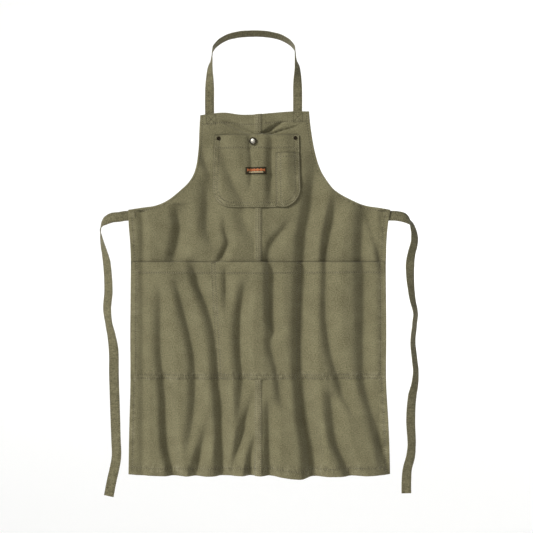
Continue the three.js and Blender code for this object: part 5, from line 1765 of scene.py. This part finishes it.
RIGHT_TIE_ROUTE: Table = (
    (0.12, 0, 0, 0),
    (0.25, 0.001, 0, 12),
    (0.48, 0.006, 0.2, 48),
    (0.61, 0.013, 0.5, 72),
    (0.705, 0.022, 0.8, 84),
    (0.795, 0.036, 1, 62),
    (0.85, 0.054, 1, 50),
    (0.875, 0.076, 0.9, 40),
    (0.854, 0.1, 0.8, 38),
    (0.765, 0.133, 0.6, 35),
    (0.705, 0.176, 0.5, 24),
    (0.74, 0.262, 0.3, 42),
    (0.8, 0.304, 0.2, 50),
    (0.89, 0.347, 0.1, 57),
    (0.854, 0.39, 0.2, 56),
    (0.805, 0.45, 0.4, 53),
    (0.868, 0.518, 0.3, 52),
    (0.9, 0.56, 0.2, 50),
    (0.86, 0.603, 0.2, 40),
    (0.772, 0.646, 0.2, 25),
    (0.722, 0.732, 0.2, 20),
    (0.754, 0.817, 0.1, 30),
    (0.71, 0.86, 0, 20),
    (0.6, 0.903, 0, 18),
    (0.566, 0.946, 0, 8),
    (0.566, 0.99, 0, 8),
)


@dataclass
class Straps:
    """The neck strap and the two waist ties."""

    canvas: bpy.types.Material
    strap_width: float = 21.5
    strap_thickness: float = 2
    strap_spread: float = 208.4
    strap_shift: float = -8.2
    strap_overlap: float = 27
    tie_width: float = 23.5
    tie_thickness: float = 2
    tie_reach: float = 67.5
    tie_fall: float = 663
    tie_sway: float = 14
    tie_overlap: float = 17
    tie_seat_drop: float = 14

    def neck_path(self) -> RibbonPath:
        """Route of the neck strap from its left end to its right end."""
        d = DRAPE
        behind = -d.cloth * 1.5 - d.seat - self.strap_thickness / 2

        def leg(side: Side) -> tuple[list, list]:
            """Places and faces of one side."""
            sign = side.value
            x = self.strap_shift + sign * self.strap_spread / 2
            top = float(d.top_z(np.array(x)))
            places, faces = [], []
            for rise in (-self.strap_overlap, -self.strap_overlap / 2, 0.0):
                places.append(d.point(x, top + rise, behind))
                faces.append(d.normal(np.array(x), np.array(top + rise)))
            start_y = places[-1][1]
            for across, back, up, turn, lean in STRAP_ROUTE:
                yaw, pitch = math.radians(turn), math.radians(lean)
                places.append(np.array([
                    self.strap_shift + sign * across * self.strap_spread / 2,
                    lerp(start_y, self.strap_thickness / 2, back),
                    lerp(top, self.strap_thickness / 2, up),
                ]))
                faces.append(np.array([sign * math.sin(yaw) * math.cos(pitch),
                                       -math.cos(yaw) * math.cos(pitch), math.sin(pitch)]))
            return places, faces

        left, right = leg(Side.LEFT), leg(Side.RIGHT)
        return RibbonPath(np.array(left[0] + right[0][::-1]), np.array(left[1] + right[1][::-1]))

    def tie_path(self, side: Side, route: Table) -> RibbonPath:
        """Route of one tie from where it is sewn on to its free end."""
        d = DRAPE
        sign = side.value
        behind = -d.cloth * 1.5 - d.seat - self.tie_thickness / 2
        seat_x = d.corner_x(side)
        seat_z = d.bib_top_z - d.armhole_drop - self.tie_seat_drop
        places, faces = [], []
        for inset in (self.tie_overlap, self.tie_overlap / 2, 0.0):
            places.append(d.point(seat_x - sign * inset, seat_z, behind))
            faces.append(d.normal(np.array(seat_x - sign * inset), np.array(seat_z)))
        start_y = places[-1][1]
        for reach, fall, sway, turn in route:
            yaw = math.radians(turn)
            places.append(np.array([seat_x + sign * reach * self.tie_reach, start_y + sway * self.tie_sway,
                                    seat_z - fall * self.tie_fall]))
            faces.append(np.array([sign * math.sin(yaw), -math.cos(yaw), 0.0]))
        return RibbonPath(np.array(places), np.array(faces))

    def build(self) -> list[bpy.types.Object]:
        """Builds the strap and both ties."""
        strips = (
            Ribbon("neck_strap_cloth", self.neck_path(), self.strap_width, self.strap_thickness,
                   self.canvas, "neck_strap", seed=3.0),
            Ribbon("waist_tie_left_cloth", self.tie_path(Side.LEFT, LEFT_TIE_ROUTE), self.tie_width,
                   self.tie_thickness, self.canvas, "waist_tie_left", seed=5.0),
            Ribbon("waist_tie_right_cloth", self.tie_path(Side.RIGHT, RIGHT_TIE_ROUTE), self.tie_width,
                   self.tie_thickness, self.canvas, "waist_tie_right", seed=8.0),
        )
        return [piece for strip in strips for piece in strip.build()]


@dataclass
class Label:
    """The small woven label on the chest pocket."""

    pocket: ChestPocket
    finish: bpy.types.Material
    width: float = 46.5
    height: float = 17.5
    x: float = -4
    drop: float = 85
    thickness: float = 0.8

    def build(self) -> bpy.types.Object:
        """Builds the label."""
        d = DRAPE
        slab = Slab("woven_label_cloth", chain(hem_stations(14) / 2, 1 - (hem_stations(14) / 2)[::-1]),
                    chain(hem_stations(6) / 2, 1 - (hem_stations(6) / 2)[::-1]))
        x = self.x + self.width * (slab.columns - 0.5)
        z = self.pocket.mouth_z - self.drop + self.height * (0.5 - slab.rows)
        edge = np.minimum(np.minimum(slab.columns, 1 - slab.columns) * self.width,
                          np.minimum(slab.rows, 1 - slab.rows) * self.height)
        half = self.thickness / 2 * rounded(edge, 1.2)
        level = d.cloth + d.seat * 2 + self.thickness / 2 + np.where(slab.front, half, -half)
        points = self.pocket.surface(x, z, level + self.pocket.relief(x, z))
        flat = np.stack([slab.columns, slab.rows], axis=-1) / MM
        piece = slab.finish(points, flat, {})
        dress(piece, self.finish, "woven_label", "label")
        return piece


@dataclass
class MetalTrim:
    """The tack button and the two rivets, turned shapes that clamp the cloth."""

    pocket: ChestPocket
    nickel: bpy.types.Material
    brass: bpy.types.Material
    button_radius: float = 9
    button_height: float = 4.5
    button_drop: float = 15
    shank_radius: float = 2
    button_back: float = 4.5
    rivet_radius: float = 4.6
    rivet_height: float = 1.8
    rivet_shank: float = 1.5
    rivet_inset: float = 8.5
    rivet_drop: float = 8
    back_thickness: float = 1.0
    sides: int = 40

    def turned(self, name: str, profile: Sequence[tuple[float, float]], x: float, z: float) -> bpy.types.Object:
        """Spins a profile of radius and height into a closed shape that stands out of the cloth."""
        maker = bmesh.new()
        verts = [maker.verts.new((radius, 0.0, height)) for radius, height in profile]
        edges = [maker.edges.new(pair) for pair in zip(verts[:-1], verts[1:])]
        bmesh.ops.spin(maker, geom=verts + edges, cent=(0, 0, 0), axis=(0, 0, 1), angle=2 * math.pi,
                       steps=self.sides, use_merge=True)
        bmesh.ops.remove_doubles(maker, verts=maker.verts[:], dist=1e-4)
        bmesh.ops.recalc_face_normals(maker, faces=maker.faces[:])
        layer, widest = maker.verts.layers.float.new("radius"), max(radius for radius, _ in profile)
        for vert in maker.verts:
            vert[layer] = vert.co.xy.length / widest
        outward = Vector(DRAPE.normal(np.array(x), np.array(z)))
        turn = Vector((0, 0, 1)).rotation_difference(outward).to_matrix().to_4x4()
        foot = Vector(DRAPE.point(np.array(x), np.array(z)))
        bmesh.ops.transform(maker, matrix=Matrix.Scale(MM, 4) @ Matrix.Translation(foot) @ turn,
                            verts=maker.verts[:])
        mesh = bpy.data.meshes.new(name)
        maker.to_mesh(mesh)
        maker.free()
        mesh.shade_smooth()
        return link(name, mesh)

    def seat_at(self, x: float, z: float) -> float:
        """How far in front of the cloth's middle the trim sits."""
        d, pocket = DRAPE, self.pocket
        at_x, at_z = np.array(x), np.array(z)
        rise = float(pocket.rise(at_x, pocket.mouth_z - at_z))
        return float(pocket.seat(at_x, at_z)) + d.cloth + d.trim_seat + rise

    def build(self) -> list[bpy.types.Object]:
        """Builds the button and the rivets."""
        d, pocket = DRAPE, self.pocket
        back = -d.cloth / 2 - d.trim_seat
        x, z = pocket.button_x, pocket.mouth_z - self.button_drop
        seat, rim, high = self.seat_at(x, z), self.button_radius, self.button_height
        top = seat + high
        button = self.turned("tack_button_metal", (
            (0, back - self.back_thickness), (self.button_back * 0.7, back - self.back_thickness),
            (self.button_back * 0.95, back - self.back_thickness * 0.8), (self.button_back, back - 0.3),
            (self.button_back, back), (self.shank_radius, back), (self.shank_radius, seat),
            (rim * 0.82, seat), (rim * 0.95, seat + high * 0.08), (rim, seat + high * 0.3),
            (rim * 0.995, top - high * 0.3), (rim * 0.96, top - high * 0.1), (rim * 0.88, top),
            (rim * 0.8, top - high * 0.03), (rim * 0.72, top - high * 0.14), (rim * 0.68, top - high * 0.32),
            (rim * 0.62, top - high * 0.36), (rim * 0.55, top - high * 0.26), (rim * 0.4, top - high * 0.16),
            (rim * 0.2, top - high * 0.12), (0, top - high * 0.11),
        ), x, z)
        dress(button, self.nickel, "nickel", "tack_button")
        pieces = [button]
        for side, node in ((Side.LEFT, "rivet_left"), (Side.RIGHT, "rivet_right")):
            half = float(pocket.half_width(np.array(float(self.rivet_drop))))
            x = pocket.middle_x + side.value * (half - self.rivet_inset)
            z = pocket.mouth_z - self.rivet_drop
            seat, rim, high = self.seat_at(x, z), self.rivet_radius, self.rivet_height
            top = seat + high
            rivet = self.turned(node + "_metal", (
                (0, back - self.back_thickness), (rim * 0.9, back - self.back_thickness),
                (rim, back - self.back_thickness * 0.7), (rim, back), (self.rivet_shank, back),
                (self.rivet_shank, seat), (rim * 0.9, seat), (rim, seat + high * 0.2),
                (rim * 0.95, seat + high * 0.5), (rim * 0.75, seat + high * 0.85), (rim * 0.55, top),
                (rim * 0.42, top - high * 0.1), (rim * 0.32, top - high * 0.45),
                (rim * 0.15, top - high * 0.5), (0, top - high * 0.5),
            ), x, z)
            dress(rivet, self.brass, "oxidised_brass", node)
            pieces.append(rivet)
        return pieces


@dataclass
class Studio:
    """A pale round studio with soft light and the camera.

    Attributes:
        eye: the camera's place in metres
        lens: its lens in millimetres, for a sensor 36 wide
        floor_z: height of the floor in metres
        radius: how far the floor reaches before it turns up into the wall, in metres
    """

    eye: tuple[float, float, float] = (0.0223, -3.105, -0.566)
    lens: float = 86.2
    floor_z: float = -1.45
    radius: float = 6.0
    wall: float = 3.4
    turn: float = 1.2
    key_strength: float = 3.74
    sky_strength: float = 0.045
    glow: float = 0.565

    def build(self) -> None:
        """Builds the camera, the lights and the floor."""
        self.camera()
        self.sweep()
        self.lights()

    def camera(self) -> None:
        """Looks level along +Y, as the photograph does."""
        data = bpy.data.cameras.new("camera")
        data.lens, data.sensor_width = self.lens, 36.0
        data.clip_end = 60.0
        camera = bpy.data.objects.new("camera", data)
        camera.location = self.eye
        camera.rotation_euler = (math.radians(90), 0, 0)
        bpy.context.scene.collection.objects.link(camera)
        bpy.context.scene.camera = camera

    def sweep(self) -> None:
        """A round floor that turns up into a low wall without an edge."""
        maker = bmesh.new()
        corner = self.radius
        profile = [(0.0, 0.0), (corner * 0.5, 0.0), (corner, 0.0)]
        for k in range(1, 9):
            angle = math.radians(90) * k / 8
            profile.append((corner + self.turn * math.sin(angle), self.turn * (1 - math.cos(angle))))
        profile.append((corner + self.turn, self.wall))
        verts = [maker.verts.new((x, 0.0, self.floor_z + z)) for x, z in profile]
        edges = [maker.edges.new(pair) for pair in zip(verts[:-1], verts[1:])]
        bmesh.ops.spin(maker, geom=verts + edges, cent=(0, 0, 0), axis=(0, 0, 1), angle=2 * math.pi,
                       steps=72, use_merge=True)
        bmesh.ops.remove_doubles(maker, verts=maker.verts[:], dist=1e-4)
        bmesh.ops.recalc_face_normals(maker, faces=maker.faces[:])
        bmesh.ops.reverse_faces(maker, faces=maker.faces[:])
        mesh = bpy.data.meshes.new("studio_floor")
        maker.to_mesh(mesh)
        maker.free()
        mesh.shade_smooth()
        floor = link("studio_floor", mesh)
        material, _, shader = start_material("matt_white_paint")
        shader.inputs["Base Color"].default_value = linear("#b4b4b2")
        shader.inputs["Roughness"].default_value = 0.9
        shader.inputs["Emission Color"].default_value = (1.0, 1.0, 1.0, 1.0)
        shader.inputs["Emission Strength"].default_value = self.glow
        floor.data.materials.append(material)

    def lights(self) -> None:
        """A soft key from the upper left and front, a weak fill, and an even sky."""
        for name, direction, strength, angle in (
            ("key", (0.66, 0.56, -0.5), self.key_strength, 14.0),
            ("fill_back", (-0.5, -0.75, -0.45), 0.5, 50.0),
        ):
            data = bpy.data.lights.new(name, "SUN")
            data.energy, data.angle = strength, math.radians(angle)
            lamp = bpy.data.objects.new(name, data)
            lamp.rotation_euler = Vector(direction).to_track_quat("-Z", "Y").to_euler()
            bpy.context.scene.collection.objects.link(lamp)
        world = bpy.data.worlds.new("studio_sky")
        world.use_nodes = True
        backdrop = next(node for node in world.node_tree.nodes if node.type == "BACKGROUND")
        backdrop.inputs["Color"].default_value = (1.0, 1.0, 1.0, 1.0)
        backdrop.inputs["Strength"].default_value = self.sky_strength
        bpy.context.scene.world = world
        bpy.context.scene.view_settings.view_transform = "Standard"


def main() -> None:
    """Builds every sub-assembly in order."""
    logging.basicConfig(level=logging.INFO, format="%(name)s: %(message)s")
    canvas, strap_canvas, thread = CANVAS.build(), STRAP_CANVAS.build(), THREAD.build()
    Studio().build()
    Body(canvas, thread).build()
    WaistPocket(canvas, thread).build()
    chest = ChestPocket(canvas, thread)
    chest.build()
    Label(chest, LABEL_FINISH.build()).build()
    MetalTrim(chest, NICKEL.build(), DARK_BRASS.build()).build()
    Straps(strap_canvas).build()


if __name__ == "__main__":
    main()
